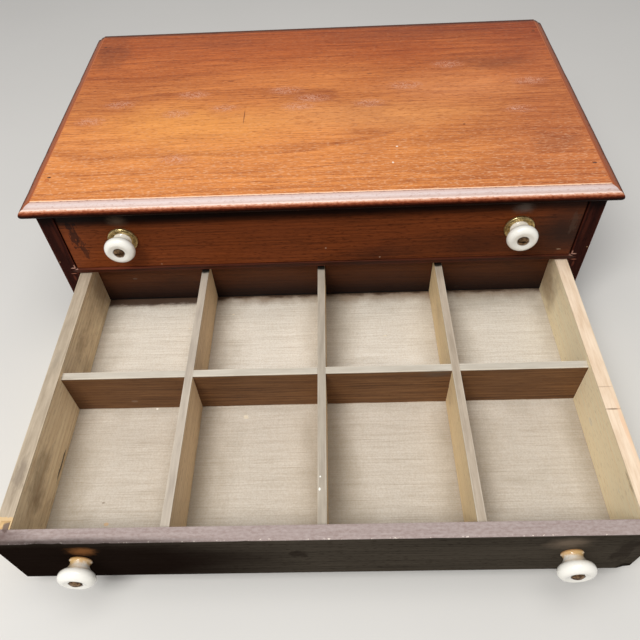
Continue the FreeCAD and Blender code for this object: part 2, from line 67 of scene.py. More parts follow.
class Tree:
    """Adds nodes to a tree; a value handed in may be a socket or a plain number."""

    def __init__(self, tree):
        self.tree = tree
        self.count = 0

    def add(self, kind, inputs=None, **settings):
        node = self.tree.nodes.new(kind)
        node.location = (self.count % 10 * 190, -(self.count // 10) * 280)
        self.count += 1
        for name, value in settings.items():
            setattr(node, name, value)
        for key, value in (inputs or {}).items():
            self.feed(node.inputs[key], value)
        return node

    def first(self, kind, inputs=None, **settings):
        """Adds a node and gives its first output."""
        return self.add(kind, inputs, **settings).outputs[0]

    def feed(self, socket, value):
        if isinstance(value, bpy.types.NodeSocket):
            self.tree.links.new(value, socket)
        else:
            socket.default_value = value

    def math(self, operation, first, second=0.0, third=0.0, clamp=False):
        inputs = {0: first, 1: second, 2: third}
        return self.first("ShaderNodeMath", inputs, operation=operation, use_clamp=clamp)

    def by(self, first, second):
        return self.math("MULTIPLY", first, second)

    def less(self, first, second):
        return self.math("SUBTRACT", first, second)

    def plus(self, first, second, third=0.0):
        """First times second, plus third."""
        return self.math("MULTIPLY_ADD", first, second, third)

    def vector(self, operation, first, second=(0, 0, 0), output=0):
        node = self.add("ShaderNodeVectorMath", {0: first, 1: second}, operation=operation)
        return node.outputs[output]

    def scaled(self, vector, factors):
        return self.vector("MULTIPLY", vector, factors)

    def split(self, vector):
        return self.add("ShaderNodeSeparateXYZ", {0: vector}).outputs

    def join(self, x, y, z):
        return self.first("ShaderNodeCombineXYZ", {0: x, 1: y, 2: z})

    def noise(self, vector, scale, detail=3.0, rough=0.5, distortion=0.0):
        return self.first("ShaderNodeTexNoise", {
            "Vector": vector, "Scale": scale, "Detail": detail, "Roughness": rough,
            "Distortion": distortion})

    def ease(self, value, low, high, at_low=0.0, at_high=1.0):
        """Turns low..high smoothly into at_low..at_high."""
        return self.first("ShaderNodeMapRange", {
            "Value": value, "From Min": low, "From Max": high, "To Min": at_low, "To Max": at_high,
        }, interpolation_type="SMOOTHSTEP")

    def fall(self, value, low, high, amount=1.0):
        """Goes smoothly from an amount at low down to nothing at high."""
        return self.ease(value, low, high, amount, 0.0)

    def mix(self, factor, first, second, blend="MIX"):
        inputs = {0: factor, 6: toned(first), 7: toned(second)}
        return self.add("ShaderNodeMix", inputs, data_type="RGBA", blend_type=blend).outputs[2]

    def ramp(self, value, stops):
        """Colours at given places along 0..1."""
        node = self.add("ShaderNodeValToRGB", {0: value})
        band = node.color_ramp.elements
        while len(band) < len(stops):
            band.new(1.0)
        for stop, (place, colour) in zip(band, stops):
            stop.position = place
            stop.color = toned(colour)
        return node.outputs[0]

    def group(self, tree, inputs):
        node = self.add("ShaderNodeGroup")
        node.node_tree = tree
        for key, value in inputs.items():
            self.feed(node.inputs[key], value)
        return node.outputs


def shader_group(name, inputs, outputs):
    """A node group with named sockets: its tree builder, its inputs and its output node."""
    tree = bpy.data.node_groups.new(name, "ShaderNodeTree")
    for socket, value in inputs.items():
        kind = "NodeSocketVector" if isinstance(value, tuple) else "NodeSocketFloat"
        made = tree.interface.new_socket(name=socket, in_out="INPUT", socket_type=kind)
        made.default_value = value
    for socket in outputs:
        tree.interface.new_socket(name=socket, in_out="OUTPUT", socket_type="NodeSocketFloat")
    build = Tree(tree)
    entry = build.add("NodeGroupInput")
    leave = build.add("NodeGroupOutput")
    return build, entry.outputs, leave.inputs


def build_wood_grain():
    """Growth rings, streaks, fibres and pores of a board; the vector's X runs along the grain."""
    t, i, out = shader_group("wood_grain", {
        "Vector": (0, 0, 0), "Ring Spacing": 0.005, "Pith Depth": 0.12, "Wander": 0.01, "Fineness": 500.0,
    }, ("Rings", "Streaks", "Fibres", "Pores", "Drift"))
    x, y, z = t.split(i["Vector"])
    slow = t.noise(t.scaled(i["Vector"], (1.7, 6.0, 6.0)), 1.0, 2.0)
    curl = t.noise(t.scaled(i["Vector"], (14.0, 70.0, 70.0)), 1.0, 2.0)
    deep = t.math("ADD", z, i["Pith Depth"])
    radius = t.math("SQRT", t.plus(y, y, t.by(deep, deep)))
    sway = t.by(t.less(slow, 0.5), t.by(i["Wander"], 4.0))
    sway = t.plus(t.less(curl, 0.5), t.by(i["Wander"], 0.3), sway)
    rings = t.math("DIVIDE", t.math("ADD", radius, sway), i["Ring Spacing"])
    band = t.math("FRACT", rings)
    late = t.by(t.ease(band, 0.2, 0.9), t.fall(band, 0.9, 1.0))
    year = t.noise(t.join(t.math("FLOOR", rings), 0.0, 0.0), 0.71, 1.0)
    t.feed(out["Rings"], t.by(late, t.ease(year, 0.3, 0.7, 0.25, 1.0)))
    streaks = t.noise(t.scaled(i["Vector"], (3.0, 150.0, 150.0)), 1.0, 3.0, 0.6)
    t.feed(out["Streaks"], t.ease(streaks, 0.32, 0.68))
    across = t.by(y, i["Fineness"])
    inward = t.by(z, i["Fineness"])
    fibres = t.noise(t.join(t.by(x, 22.0), across, inward), 1.0, 3.0, 0.6)
    t.feed(out["Fibres"], t.ease(fibres, 0.28, 0.72))
    dashes = t.join(t.by(x, 150.0), t.by(across, 1.5), t.by(inward, 1.5))
    t.feed(out["Pores"], t.ease(t.noise(dashes, 1.0, 1.0), 0.56, 0.7))
    t.feed(out["Drift"], slow)
    return t.tree


def build_arris():
    """How near a point is to an edge of the block between Low and High, roughened by noise."""
    t, i, out = shader_group("arris_rub", {
        "Vector": (0, 0, 0), "Low": (0, 0, 0), "High": (1, 1, 1), "Width": 0.002,
    }, ("Edge", "Corner"))
    below = t.vector("ABSOLUTE", t.vector("SUBTRACT", i["Vector"], i["Low"]))
    above = t.vector("ABSOLUTE", t.vector("SUBTRACT", i["High"], i["Vector"]))
    a, b, c = t.split(t.vector("MINIMUM", below, above))
    most = t.math("MAXIMUM", a, b)
    second = t.math("MAXIMUM", t.math("MINIMUM", a, b), t.math("MINIMUM", most, c))
    third = t.math("MAXIMUM", most, c)
    ragged = t.noise(i["Vector"], 170.0, 3.0, 0.65)
    broad = t.ease(t.noise(i["Vector"], 24.0, 2.0), 0.3, 0.7, -0.1, 1.1)
    reach = t.by(i["Width"], t.plus(ragged, 1.1, broad))
    t.feed(out["Edge"], t.fall(t.math("DIVIDE", second, reach), 0.35, 1.0))
    t.feed(out["Corner"], t.fall(t.math("DIVIDE", third, t.by(reach, 4.0)), 0.3, 1.0))
    return t.tree


def build_stain():
    """Soft cloudy stains, small specks and a finer blotch."""
    t, i, out = shader_group("age_stain", {
        "Vector": (0, 0, 0), "Cloud Size": 0.08, "Amount": 0.5, "Speck Size": 0.006,
    }, ("Clouds", "Specks", "Blotch"))
    cloud = t.math("DIVIDE", 1.0, i["Cloud Size"])
    cut = t.plus(i["Amount"], -0.4, 0.75)
    mist = t.noise(i["Vector"], cloud, 4.0, 0.6, 0.4)
    t.feed(out["Clouds"], t.ease(mist, cut, t.math("ADD", cut, 0.22)))
    fineness = t.math("DIVIDE", 1.0, i["Speck Size"])
    cells = t.add("ShaderNodeTexVoronoi", {"Vector": i["Vector"], "Scale": fineness})
    chance = t.split(cells.outputs["Color"])[0]
    size = t.by(t.ease(chance, 0.93, 1.0), 0.2)
    t.feed(out["Specks"], t.math("LESS_THAN", cells.outputs["Distance"], size))
    t.feed(out["Blotch"], t.noise(i["Vector"], t.by(cloud, 4.5), 3.0, 0.6))
    return t.tree


def build_spot():
    """A mark of a given size round a point; its ragged edge scales with it."""
    t, i, out = shader_group("ragged_spot", {
        "Vector": (0, 0, 0), "Centre": (0, 0, 0), "Size": (0.01, 0.01, 0.01), "Ragged": 0.5, "Soft": 0.3,
    }, ("Mark",))
    local = t.vector("DIVIDE", t.vector("SUBTRACT", i["Vector"], i["Centre"]), i["Size"])
    torn = t.noise(t.vector("ADD", local, t.scaled(i["Centre"], (97, 97, 97))), 1.7, 4.0, 0.65)
    reach = t.plus(t.less(torn, 0.5), t.by(i["Ragged"], 3.0), t.vector("LENGTH", local, output=1))
    t.feed(out["Mark"], t.fall(reach, t.less(1.0, i["Soft"]), 1.0))
    return t.tree


WOOD_GRAIN = build_wood_grain()
ARRIS = build_arris()
STAIN = build_stain()
SPOT = build_spot()

# Turns that bring an object's X, Y or Z onto the grain group's X.
ALONG = {"X": (0, 0, 0), "Y": (0, 0, -math.pi / 2), "Z": (0, math.pi / 2, 0)}


class Finish(Tree):
    """One material under way: its colour is laid on coat by coat, until shade() closes it."""

    def __init__(self, name, grain="X", offset=(0, 0, 0)):
        self.material = bpy.data.materials.new(name)
        self.material.use_nodes = True
        self.material.node_tree.nodes.clear()
        super().__init__(self.material.node_tree)
        self.place = self.add("ShaderNodeTexCoord").outputs["Object"]
        self.grain = self.first("ShaderNodeMapping", {
            "Vector": self.place, "Location": offset, "Rotation": ALONG[grain]})
        self.colour = None

    def wood(self, light, dark, rings=0.3, streaks=0.2, fibres=0.3, spacing=0.005, pith=0.12, wander=0.01,
             fineness=500.0):
        """Colours a board between two tones and returns the grain group's outputs."""
        grain = self.group(WOOD_GRAIN, {
            "Vector": self.grain, "Ring Spacing": spacing, "Pith Depth": pith, "Wander": wander,
            "Fineness": fineness})
        amount = self.plus(grain["Rings"], rings, self.ease(grain["Drift"], 0.35, 0.65, -0.1, 0.2))
        amount = self.plus(grain["Streaks"], streaks, amount)
        amount = self.math("MULTIPLY_ADD", grain["Fibres"], fibres, amount, clamp=True)
        self.colour = self.mix(amount, light, dark)
        return grain

    def lay(self, mask, tone, strength=None, blend="MIX"):
        """Covers the colour with a tone as far as the mask says, times the strength if given."""
        if strength is not None:
            mask = self.by(mask, strength)
        self.colour = self.mix(mask, self.colour, tone, blend)

    def tint(self, mask, tone, strength=None):
        """Multiplies the colour by a tone in the same way."""
        self.lay(mask, tone, strength, "MULTIPLY")

    def stain(self, size, amount, speck=0.02, stretch=(1, 1, 1)):
        """Clouds, specks and blotches; the stretch runs along the grain."""
        return self.group(STAIN, {
            "Vector": self.scaled(self.grain, stretch), "Cloud Size": size, "Amount": amount,
            "Speck Size": speck})

    def spot(self, centre, size, ragged, soft):
        """A mark whose centre and size are in millimetres."""
        return self.group(SPOT, {
            "Vector": self.place, "Centre": [c * MM for c in centre], "Size": [s * MM for s in size],
            "Ragged": ragged, "Soft": soft})[0]

    def marks(self, marks):
        """Lays marks on the colour: (centre, size, ragged, soft, tone, strength)."""
        for centre, size, ragged, soft, tone, strength in marks:
            self.lay(self.spot(centre, size, ragged, soft), tone, strength)

    def threads(self, counts, low, high):
        """Fine streaks: how many to a metre along and across the grain, and where they set in."""
        lines = self.noise(self.scaled(self.grain, counts), 1.0, 2.0, 0.6)
        return self.ease(lines, low, high)

    def arris(self, node, width):
        """The rubbed edges of a board that a CAD node gives the corners of."""
        low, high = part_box(node)
        return self.group(ARRIS, {"Vector": self.place, "Low": low, "High": high, "Width": width})["Edge"]

    def above(self, level):
        """1 on the faces at a level or over it."""
        return self.ease(self.split(self.place)[2], level - 0.0012, level - 0.0004)

    def shade(self, roughness, height, bump=0.3, distance=0.0003, **settings):
        """Closes the material with its surface shader."""
        relief = self.first("ShaderNodeBump", {"Strength": bump, "Distance": distance, "Height": height})
        inputs = {"Base Color": self.colour, "Roughness": roughness, "Normal": relief}
        inputs.update({key.replace("_", " "): value for key, value in settings.items()})
        self.add("ShaderNodeOutputMaterial", {0: self.first("ShaderNodeBsdfPrincipled", inputs)})
        return self.material


# ---------------------------------------------------------------- finishes

def polished_wood(name, node, grain, light, dark, offset=(0, 0, 0), rub=(150, 84, 58), rubbed=0.6,
                  cloud=(50, 26, 20), marks=(), top=None, rough=0.44, rub_width=0.0014, gloss=0.3, raw=None,
                  **figure):
    """Stained and polished wood with rubbed edges, dark clouds of old polish and a raw end."""
    f = Finish(name, grain, offset)
    wood = f.wood(light, dark, **figure)
    age = f.stain(0.11, 0.45, stretch=(0.6, 1, 1))
    f.lay(age["Clouds"], cloud, 0.5)
    f.tint(wood["Pores"], (0.35, 0.3, 0.28, 1), 0.6)
    edge = f.arris(node, rub_width)
    f.lay(edge, rub, rubbed)
    if top:
        grit = f.ease(f.noise(f.scaled(f.grain, (0.5, 1, 1)), 460.0, 4.0, 0.7), 0.3, 0.72)
        worn = f.mix(f.plus(grit, 0.5, f.by(wood["Fibres"], 0.25)), *top)
        flecks = f.by(f.ease(f.noise(f.place, 420.0, 2.0, 0.6), 0.6, 0.68), edge)
        worn = f.mix(flecks, worn, (236, 222, 210))
        f.lay(f.above(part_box(node)[1].z), worn)
    if raw:
        place, tone, deep = raw
        bare = f.mix(wood["Fibres"], tone, deep)
        f.lay(f.math("GREATER_THAN", f.split(f.place)[1], place), bare)
    f.marks(marks)
    sheen = f.plus(age["Blotch"], 0.25, f.plus(edge, 0.15, rough - 0.12))
    height = f.plus(wood["Pores"], -0.6, wood["Fibres"])
    return f.shade(sheen, height, 0.3, 0.0002, Specular_IOR_Level=gloss)


def bare_wood(name, node, grain, light, dark, stain_tone, offset=(0, 0, 0), stain=0.4, edge_tone=None,
              edge_width=0.0012, edged=0.6, marks=(), top=None, cloud=0.07, specks=0.4, foot=False, shadow_stripes=(),
              raw_end=None, **figure):
    """Bare drawer wood gone grey or brown, with stains and paler edges."""
    f = Finish(name, grain, offset)
    low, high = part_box(node)
    wood = f.wood(light, dark, **figure)
    age = f.stain(cloud, stain, 0.012, (0.5, 1, 1))
    f.lay(age["Clouds"], stain_tone, 0.6)
    f.tint(wood["Pores"], (0.62, 0.55, 0.48, 1), 0.35)
    if top:
        grit = f.ease(f.noise(f.scaled(f.grain, (0.22, 1, 1)), 150.0, 4.0, 0.6), 0.3, 0.75)
        worn = f.mix(f.plus(grit, 0.45, f.by(wood["Fibres"], 0.3)), *top)
        f.lay(f.above(high.z), worn)
    f.lay(age["Specks"], (0.75, 0.7, 0.6, 1), specks)
    if edge_tone:
        f.lay(f.arris(node, edge_width), edge_tone, edged)
    x, y, z = f.split(f.place)
    if raw_end:
        place, tone, strength = raw_end
        torn = f.plus(f.noise(f.place, 300.0, 3.0, 0.6), 0.004, f.less(y, place))
        f.lay(f.by(f.fall(torn, 0.0016, 0.0026, strength), f.above(high.z)), tone)
    if foot:
        # Painted shade: darker towards the foot, and a ragged near-black line along it, a painted shadow of
        # the gap under the board.
        f.tint(f.fall(z, low.z, low.z + 0.056), (0.08, 0.055, 0.045, 1))
        torn = f.plus(f.noise(f.scaled(f.place, (1, 1, 0.3)), 40.0, 4.0, 0.6), 0.006, low.z - 0.0012)
        f.lay(f.fall(f.less(z, torn), -0.0005, 0.0006), (0.004, 0.003, 0.003, 1))
    # Painted shadow: a near-black stripe on the board where each divider meets it.
    for place in shadow_stripes:
        inside = f.math("LESS_THAN", f.math("ABSOLUTE", f.less(x, place)), 0.0042)
        f.lay(inside, (0.006, 0.004, 0.003, 1), 0.93)
    f.marks(marks)
    rough = f.plus(age["Blotch"], 0.2, 0.6)
    height = f.plus(wood["Pores"], -0.6, wood["Fibres"])
    return f.shade(rough, height, 0.4, 0.00025, Specular_IOR_Level=0.25)


def china(name, centre, stained, stain_side):
    """White glazed china, ochre where it meets the wood, with fine cracks and a grubby recess."""
    f = Finish(name)
    x, y, z = f.split(f.vector("SUBTRACT", f.place, centre))
    out = f.by(y, -1.0)
    radius = f.math("SQRT", f.plus(x, x, f.by(z, z)))
    uneven = f.noise(f.place, 190.0, 3.0, 0.6)
    foot = f.fall(f.plus(uneven, 0.008, out), 0.0058, 0.0105)
    f.colour = f.mix(f.by(foot, stained), (252, 249, 240), (206, 160, 92))
    side = f.ease(f.plus(x, stain_side, f.by(z, 0.7)), 0.0, 0.011)
    run = f.by(f.fall(f.plus(uneven, 0.01, out), 0.009, 0.018), side)
    f.lay(run, (214, 176, 112), 0.8 * stained)
    cells = f.add("ShaderNodeTexVoronoi", {"Vector": f.place, "Scale": 210.0}, feature="DISTANCE_TO_EDGE")
    crack = f.by(f.fall(cells.outputs["Distance"], 0.0, 0.02), f.ease(uneven, 0.56, 0.7))
    f.lay(crack, (150, 125, 90), 0.3)
    contact = f.fall(f.plus(uneven, 0.0012, out), 0.0008, 0.0022, 0.75 * stained)
    f.lay(contact, (128, 78, 40))
    age = f.stain(0.02, 0.3, 0.007)
    f.lay(age["Specks"], (90, 80, 70), 0.4)
    f.lay(age["Clouds"], (214, 205, 186), 0.1)
    grubby = f.fall(f.plus(uneven, 0.0022, radius), 0.0064, 0.0076)
    grubby = f.by(grubby, f.math("GREATER_THAN", out, 0.015))
    f.lay(grubby, (104, 74, 48), 0.8)
    rough = f.plus(f.noise(f.place, 60.0), 0.14, 0.06)
    return f.shade(rough, f.noise(f.place, 90.0, 2.0), 0.15, Coat_Weight=0.6, Coat_Roughness=0.05)


def old_metal(name, bright, dark, rust, rough=0.38, scale=120.0, crusted=0.6):
    """Worn metal: bright where rubbed, dark in patches, with some rust or verdigris."""
    f = Finish(name)
    patches = f.noise(f.place, scale, 4.0, 0.65)
    fine = f.noise(f.place, scale * 6, 3.0, 0.6)
    tarnish = f.ease(f.plus(fine, 0.2, patches), 0.5, 0.74)
    f.colour = f.mix(tarnish, bright, dark)
    crust = f.by(f.ease(f.noise(f.place, scale * 1.7, 3.0, 0.7), 0.58, 0.72), crusted)
    f.lay(crust, rust)
    return f.shade(f.plus(tarnish, 0.22, rough), fine, 0.4, 0.00015, Metallic=f.plus(crust, -0.9, 0.95))


# Tones over the moulding, from the field's edge at 0 over cove and bead to the foot at 1.
# Both tables hold painted light: pale lines at the field's edge and the bead's top, a pale cove, and painted
# shade in the quirk and down the bead.
FRONT_RUN = (
    (0.0, (252, 198, 156)), (0.06, (255, 226, 204)), (0.09, (124, 68, 50)), (0.15, (206, 176, 166)),
    (0.35, (216, 198, 194)), (0.5, (202, 174, 164)), (0.55, (246, 222, 210)), (0.59, (214, 154, 122)),
    (0.64, (146, 76, 48)), (0.7, (70, 28, 16)), (0.76, (30, 11, 6)), (1.0, (14, 6, 4)))
SIDE_RUN = (
    (0.0, (196, 112, 64)), (0.05, (216, 142, 96)), (0.1, (140, 70, 36)), (0.2, (168, 88, 44)),
    (0.45, (158, 84, 46)), (0.52, (150, 88, 60)), (0.58, (84, 40, 24)), (0.66, (40, 17, 10)),
    (0.85, (26, 11, 7)), (1.0, (20, 9, 6)))
# Where the top's polish is scuffed, in millimetres.
SCUFFS = (
    (-245, -34), (-219, -2), (-151, -24), (-139, 13), (-100, -16), (-36, 16), (-21, -17), (-5, -2), (57, -16),
    (98, 18), (236, 18), (-142, -107), (214, -37), (150, 60))
TOP = 197  # height of the top's field, in millimetres
# Broad lighter and darker places of the top.
TOP_CLOUDS = (
    ((-130, -50, TOP), (150, 66, 60), 0.3, 0.9, (246, 168, 84), 0.5),
    ((60, -40, TOP), (190, 40, 60), 0.3, 0.9, (244, 168, 100), 0.45),
    ((-40, 40, TOP), (150, 30, 60), 0.3, 0.9, (236, 148, 78), 0.3),
    ((-256, 112, TOP), (40, 56, 40), 0.5, 0.95, (104, 48, 26), 0.5),
    ((206, 62, TOP), (78, 22, 40), 0.6, 0.95, (112, 56, 36), 0.42),
    ((238, -98, TOP), (34, 22, 40), 0.4, 0.8, (128, 70, 50), 0.4),
    ((100, 140, TOP), (170, 24, 40), 0.4, 0.9, (140, 72, 44), 0.3),
    ((-120, 130, TOP), (110, 22, 40), 0.4, 0.9, (150, 78, 44), 0.3),
    ((150, 10, TOP), (120, 50, 60), 0.3, 0.9, (244, 162, 106), 0.3),
)
# Small dents, a scratch and specks on the top.
TOP_SPOTS = (
    ((-263, -129, TOP), (2.7, 1.3, 3), 0.4, 0.4, (44, 32, 34), 0.9),
    ((-260, 123, TOP), (2.6, 1.6, 3), 0.4, 0.5, (90, 40, 30), 0.6),
    ((-78, -34, TOP), (0.6, 17, 6), 0.1, 0.5, (92, 42, 24), 0.75),
    ((-99, 40, TOP), (5, 1.2, 4), 0.3, 0.5, (112, 54, 32), 0.7),
    ((152, -62, TOP), (1.6, 1.2, 4), 0.2, 0.4, (84, 40, 26), 0.8),
    ((60, 45, TOP), (4, 1.4, 4), 0.3, 0.5, (110, 56, 36), 0.6),
    ((80, -97, TOP), (1.5, 1.3, 4), 0.2, 0.4, (250, 232, 214), 0.85),
    ((74, -123, TOP), (1.2, 1.6, 4), 0.2, 0.4, (250, 232, 214), 0.85),
)


def moulding_tone(f, low, high, front_stops, side_stops):
    """The moulding's tone with its painted highlights and shade, where it lies and its shine; the mesh runs
    from 0 at the field to 1.
    """
    run = f.add("ShaderNodeAttribute", attribute_name="run").outputs["Fac"]
    x, y, _ = f.split(f.place)
    ends = f.math("MINIMUM", f.less(x, low.x), f.less(high.x, x))
    front = f.ease(f.less(ends, f.less(y, low.y)), -0.0004, 0.0004)
    mottle = f.noise(f.scaled(f.place, (0.4, 1, 1)), 620.0, 4.0, 0.7)
    run = f.math("ADD", run, f.ease(mottle, 0.25, 0.75, -0.018, 0.018))
    tone = f.mix(front, f.ramp(run, side_stops), f.ramp(run, front_stops))
    tone = f.mix(f.ease(mottle, 0.5, 0.75, 0.0, 0.6), tone, (196, 158, 140), "MULTIPLY")
    return tone, f.ease(run, -0.08, -0.04), f.fall(run, 0.52, 0.66)


def slab_top(name, node):
    """The moulded top: warm polished wood with broad tone changes, clouds, scuffs and old marks."""
    f = Finish(name, "X", (0.11, 0.03, 0.0))
    low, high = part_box(node)
    wood = f.wood((232, 148, 79), (152, 75, 34), rings=0.26, streaks=0.16, fibres=0.5, spacing=0.0044,
                  pith=0.1, wander=0.009, fineness=560.0)
    x, y, _ = f.split(f.place)
    broad = f.noise(f.scaled(f.place, (1.0, 1.7, 1.0)), 8.0, 3.0, 0.55)
    sway = f.less(broad, 0.5)
    # Darker and redder towards the back, darker towards the right: partly old polish, partly painted falloff
    # of light.
    f.tint(f.ease(f.plus(sway, 0.14, y), -0.06, 0.13), (0.71, 0.48, 0.37, 1))
    f.tint(f.ease(f.plus(sway, 0.16, x), 0.08, 0.3), (0.9, 0.82, 0.94, 1))
    f.marks(TOP_CLOUDS)
    front = f.ease(y, -0.02, -0.14)
    f.lay(f.threads((210, 700, 700), 0.52, 0.68), (250, 208, 170), f.plus(front, 0.28, 0.08))
    f.tint(f.threads((26, 900, 900), 0.56, 0.68), (0.6, 0.46, 0.38, 1), 0.4)
    f.tint(wood["Pores"], (0.52, 0.38, 0.3, 1), f.plus(front, -0.15, 0.6))

    # Crinkled pale scuffs in the polish.
    nearest = 9.0
    for place in SCUFFS:
        apart = f.vector("SUBTRACT", f.place, (place[0] * MM, place[1] * MM, high.z))
        nearest = f.math("MINIMUM", f.vector("LENGTH", f.scaled(apart, (42, 90, 42)), output=1), nearest)
    crinkle = f.noise(f.scaled(f.place, (0.6, 1, 1)), 230.0, 4.0, 0.7, 1.2)
    patch = f.fall(f.plus(broad, 0.6, f.plus(crinkle, 1.6, nearest)), 1.3, 2.1)
    scuff = f.by(patch, f.fall(f.math("ABSOLUTE", f.less(crinkle, 0.5)), 0.0, 0.035))
    f.lay(patch, (168, 86, 52), 0.3)
    f.lay(scuff, (244, 192, 166), 0.78)
    f.marks(TOP_SPOTS)
    # The moulding's tones, with their painted highlights and shade.
    tone, moulded, shine = moulding_tone(f, low, high, FRONT_RUN, SIDE_RUN)
    f.lay(moulded, tone)
    age = f.stain(0.1, 0.35, 0.03)
    rough = f.plus(age["Blotch"], 0.2, f.plus(scuff, 0.2, 0.3))
    height = f.plus(wood["Pores"], -0.5, f.plus(scuff, 0.8, f.by(wood["Fibres"], 0.5)))
    return f.shade(rough, height, 0.35, 0.0002, Coat_Weight=f.by(shine, 0.62),
                   Coat_Roughness=0.4, Specular_IOR_Level=0.02)


def moulded_base(name, node):
    """The moulded bottom board, darker than the top."""
    f = Finish(name, "X", (0.4, 0.1, 0.2))
    wood = f.wood((120, 64, 38), (76, 36, 24))
    tone, moulded, shine = moulding_tone(f, *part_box(node), SIDE_RUN, SIDE_RUN)
    # The side moulding's tones, painted highlights and shade included, darkened for the base.
    f.lay(moulded, f.mix(1.0, tone, (0.6, 0.55, 0.55, 1), "MULTIPLY"))
    age = f.stain(0.1, 0.4)
    f.lay(age["Clouds"], (46, 24, 18), 0.5)
    return f.shade(f.plus(age["Blotch"], 0.25, 0.34), wood["Fibres"], 0.35, 0.0002,
                   Coat_Weight=f.by(shine, 0.6), Coat_Roughness=0.42, Specular_IOR_Level=0.02)


HALF_DIVIDER = 0.00375  # half a divider's thickness
FLOOR_GROOVE = 0.0045  # how far the drawer bottom runs into each side
# Specks on the pulled out drawer's bottom.
FLOOR_SPOTS = (
    ((-193, -414, 35), (2.6, 1.8, 4), 0.3, 0.3, (214, 180, 140), 0.9),
    ((-167, -296, 35), (1.4, 1.2, 4), 0.3, 0.3, (250, 244, 232), 0.9),
    ((-142, -309, 35), (1.2, 1.2, 4), 0.3, 0.3, (250, 244, 232), 0.9),
    ((-247, -185, 35), (1.3, 1.6, 4), 0.3, 0.3, (250, 244, 232), 0.9),
    ((-200, -394, 35), (1.8, 0.8, 4), 0.3, 0.3, (120, 100, 80), 0.7),
)


def drawer_floor(name, node, dividers, cross_y, back_y, offset):
    """The thin drawer bottom: pale greyed wood, darker along the dividers with dust and painted shade, and a
    painted shadow along the back.
    """
    f = Finish(name, "X", offset)
    low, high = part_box(node)
    wood = f.wood((246, 240, 229), (210, 200, 184), rings=0.08, streaks=0.1, fibres=0.42, spacing=0.0042,
                  pith=0.3, fineness=900.0)
    x, y, _ = f.split(f.place)
    weave = f.noise(f.scaled(f.place, (700, 60, 60)), 1.0, 2.0, 0.6)
    f.tint(f.ease(weave, 0.45, 0.75, 0.0, 0.16), (226, 216, 202))
    f.tint(f.threads((16, 1500, 1500), 0.56, 0.7), (186, 168, 146), 0.42)
    grit = f.noise(f.place, 700.0, 3.0, 0.65)
    f.tint(f.ease(grit, 0.36, 0.68, 0.0, 0.36), (216, 203, 186))
    f.tint(f.fall(y, cross_y - 0.03, cross_y + 0.02), (222, 218, 214))

    def room(walls, side):
        """How far the nearest wall is on one side; walls on the other side count as far off."""
        nearest = 1.0
        for wall in walls:
            gap = f.less(x, wall) if side < 0 else f.less(wall, x)
            passed = f.math("LESS_THAN", gap, -0.001)
            nearest = f.math("MINIMUM", nearest, f.plus(passed, 9.0, gap))
        return nearest

    # Dust along the walls, with painted shade reaching furthest out from each compartment's left wall: from
    # which wall, how far it reaches and how thick it lies.
    cloudy = f.noise(f.scaled(f.place, (1.0, 0.55, 1.0)), 24.0, 4.0, 0.62, 0.3)
    dust_and_shade = 0.0
    for gap, reach, amount in (
            (room([low.x + FLOOR_GROOVE] + [place + HALF_DIVIDER for place in dividers], -1), 0.052, 1.0),
            (room([place - HALF_DIVIDER for place in dividers] + [high.x - FLOOR_GROOVE], 1), 0.03, 0.8),
            (f.math("ABSOLUTE", f.less(y, cross_y - 0.004)), 0.02, 0.55),
            (f.less(y, low.y), 0.04, 0.6)):
        cloud = f.fall(f.plus(cloudy, -1.5 * reach, gap), -0.9 * reach, 0.2 * reach, amount)
        dust_and_shade = f.math("MAXIMUM", dust_and_shade, cloud)
    f.lay(f.by(dust_and_shade, f.ease(y, cross_y - 0.03, cross_y + 0.02, 0.6, 0.42)), (140, 125, 102))

    # Painted shadow along the back: a brown band and a darker, ragged one, deepest in the left compartment.
    ragged = f.noise(f.scaled(f.place, (0.5, 1, 1)), 120.0, 4.0, 0.7)
    reach = f.plus(ragged, 0.012, f.ease(x, -0.14, -0.1, 0.003, -0.004))
    behind = f.less(back_y, y)
    f.lay(f.fall(f.plus(cloudy, -0.024, behind), -0.012, 0.006, 0.75), (128, 98, 68))
    f.lay(f.fall(f.less(behind, reach), -0.003, 0.003, 0.9), (60, 36, 19))
    age = f.stain(0.05, 0.5, 0.012, (0.5, 1, 1))
    f.lay(age["Clouds"], (156, 143, 122), 0.34)
    f.lay(age["Specks"], (240, 226, 198), 0.6)
    f.marks(FLOOR_SPOTS)
    height = f.plus(wood["Pores"], -0.5, wood["Fibres"])
    return f.shade(f.plus(cloudy, 0.2, 0.6), height, 0.3, 0.0002, Specular_IOR_Level=0.25)


# ---------------------------------------------------------------- meshes

def in_scene(name, data):
    """A new object in the scene, at the origin."""
    made = bpy.data.objects.new(name, data)
    bpy.context.scene.collection.objects.link(made)
    return made


def piece(name, mesh, material, body, slot, *replaced):
    made = in_scene(name, mesh)
    mesh.materials.clear()
    mesh.materials.append(material)
    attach(made, body)
    if replaced:
        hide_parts(*replaced)
    return made


def dress(node, material):
    """Gives a CAD node that stays its own finish."""
    data = NODES[node].data
    data.materials.clear()
    data.materials.append(material)


def finished_mesh(made):
    """The evaluated mesh of an object with its modifiers, after which the object is removed."""
    bpy.context.view_layer.update()
    ready = made.evaluated_get(bpy.context.evaluated_depsgraph_get())
    mesh = bpy.data.meshes.new_from_object(ready)
    bpy.data.objects.remove(made)
    return mesh


def from_bmesh(name, shape):
    """A smooth-shaded mesh from a bmesh, in an object of its own."""
    mesh = bpy.data.meshes.new(name)
    shape.normal_update()
    shape.to_mesh(mesh)
    shape.free()
    mesh.polygons.foreach_set("use_smooth", [True] * len(mesh.polygons))
    return in_scene(name + "_cut", mesh)


def flat_shading(made):
    """Keeps broad faces flat over rounded edges."""
    shading = made.modifiers.new("flat faces", "WEIGHTED_NORMAL")
    shading.keep_sharp = True


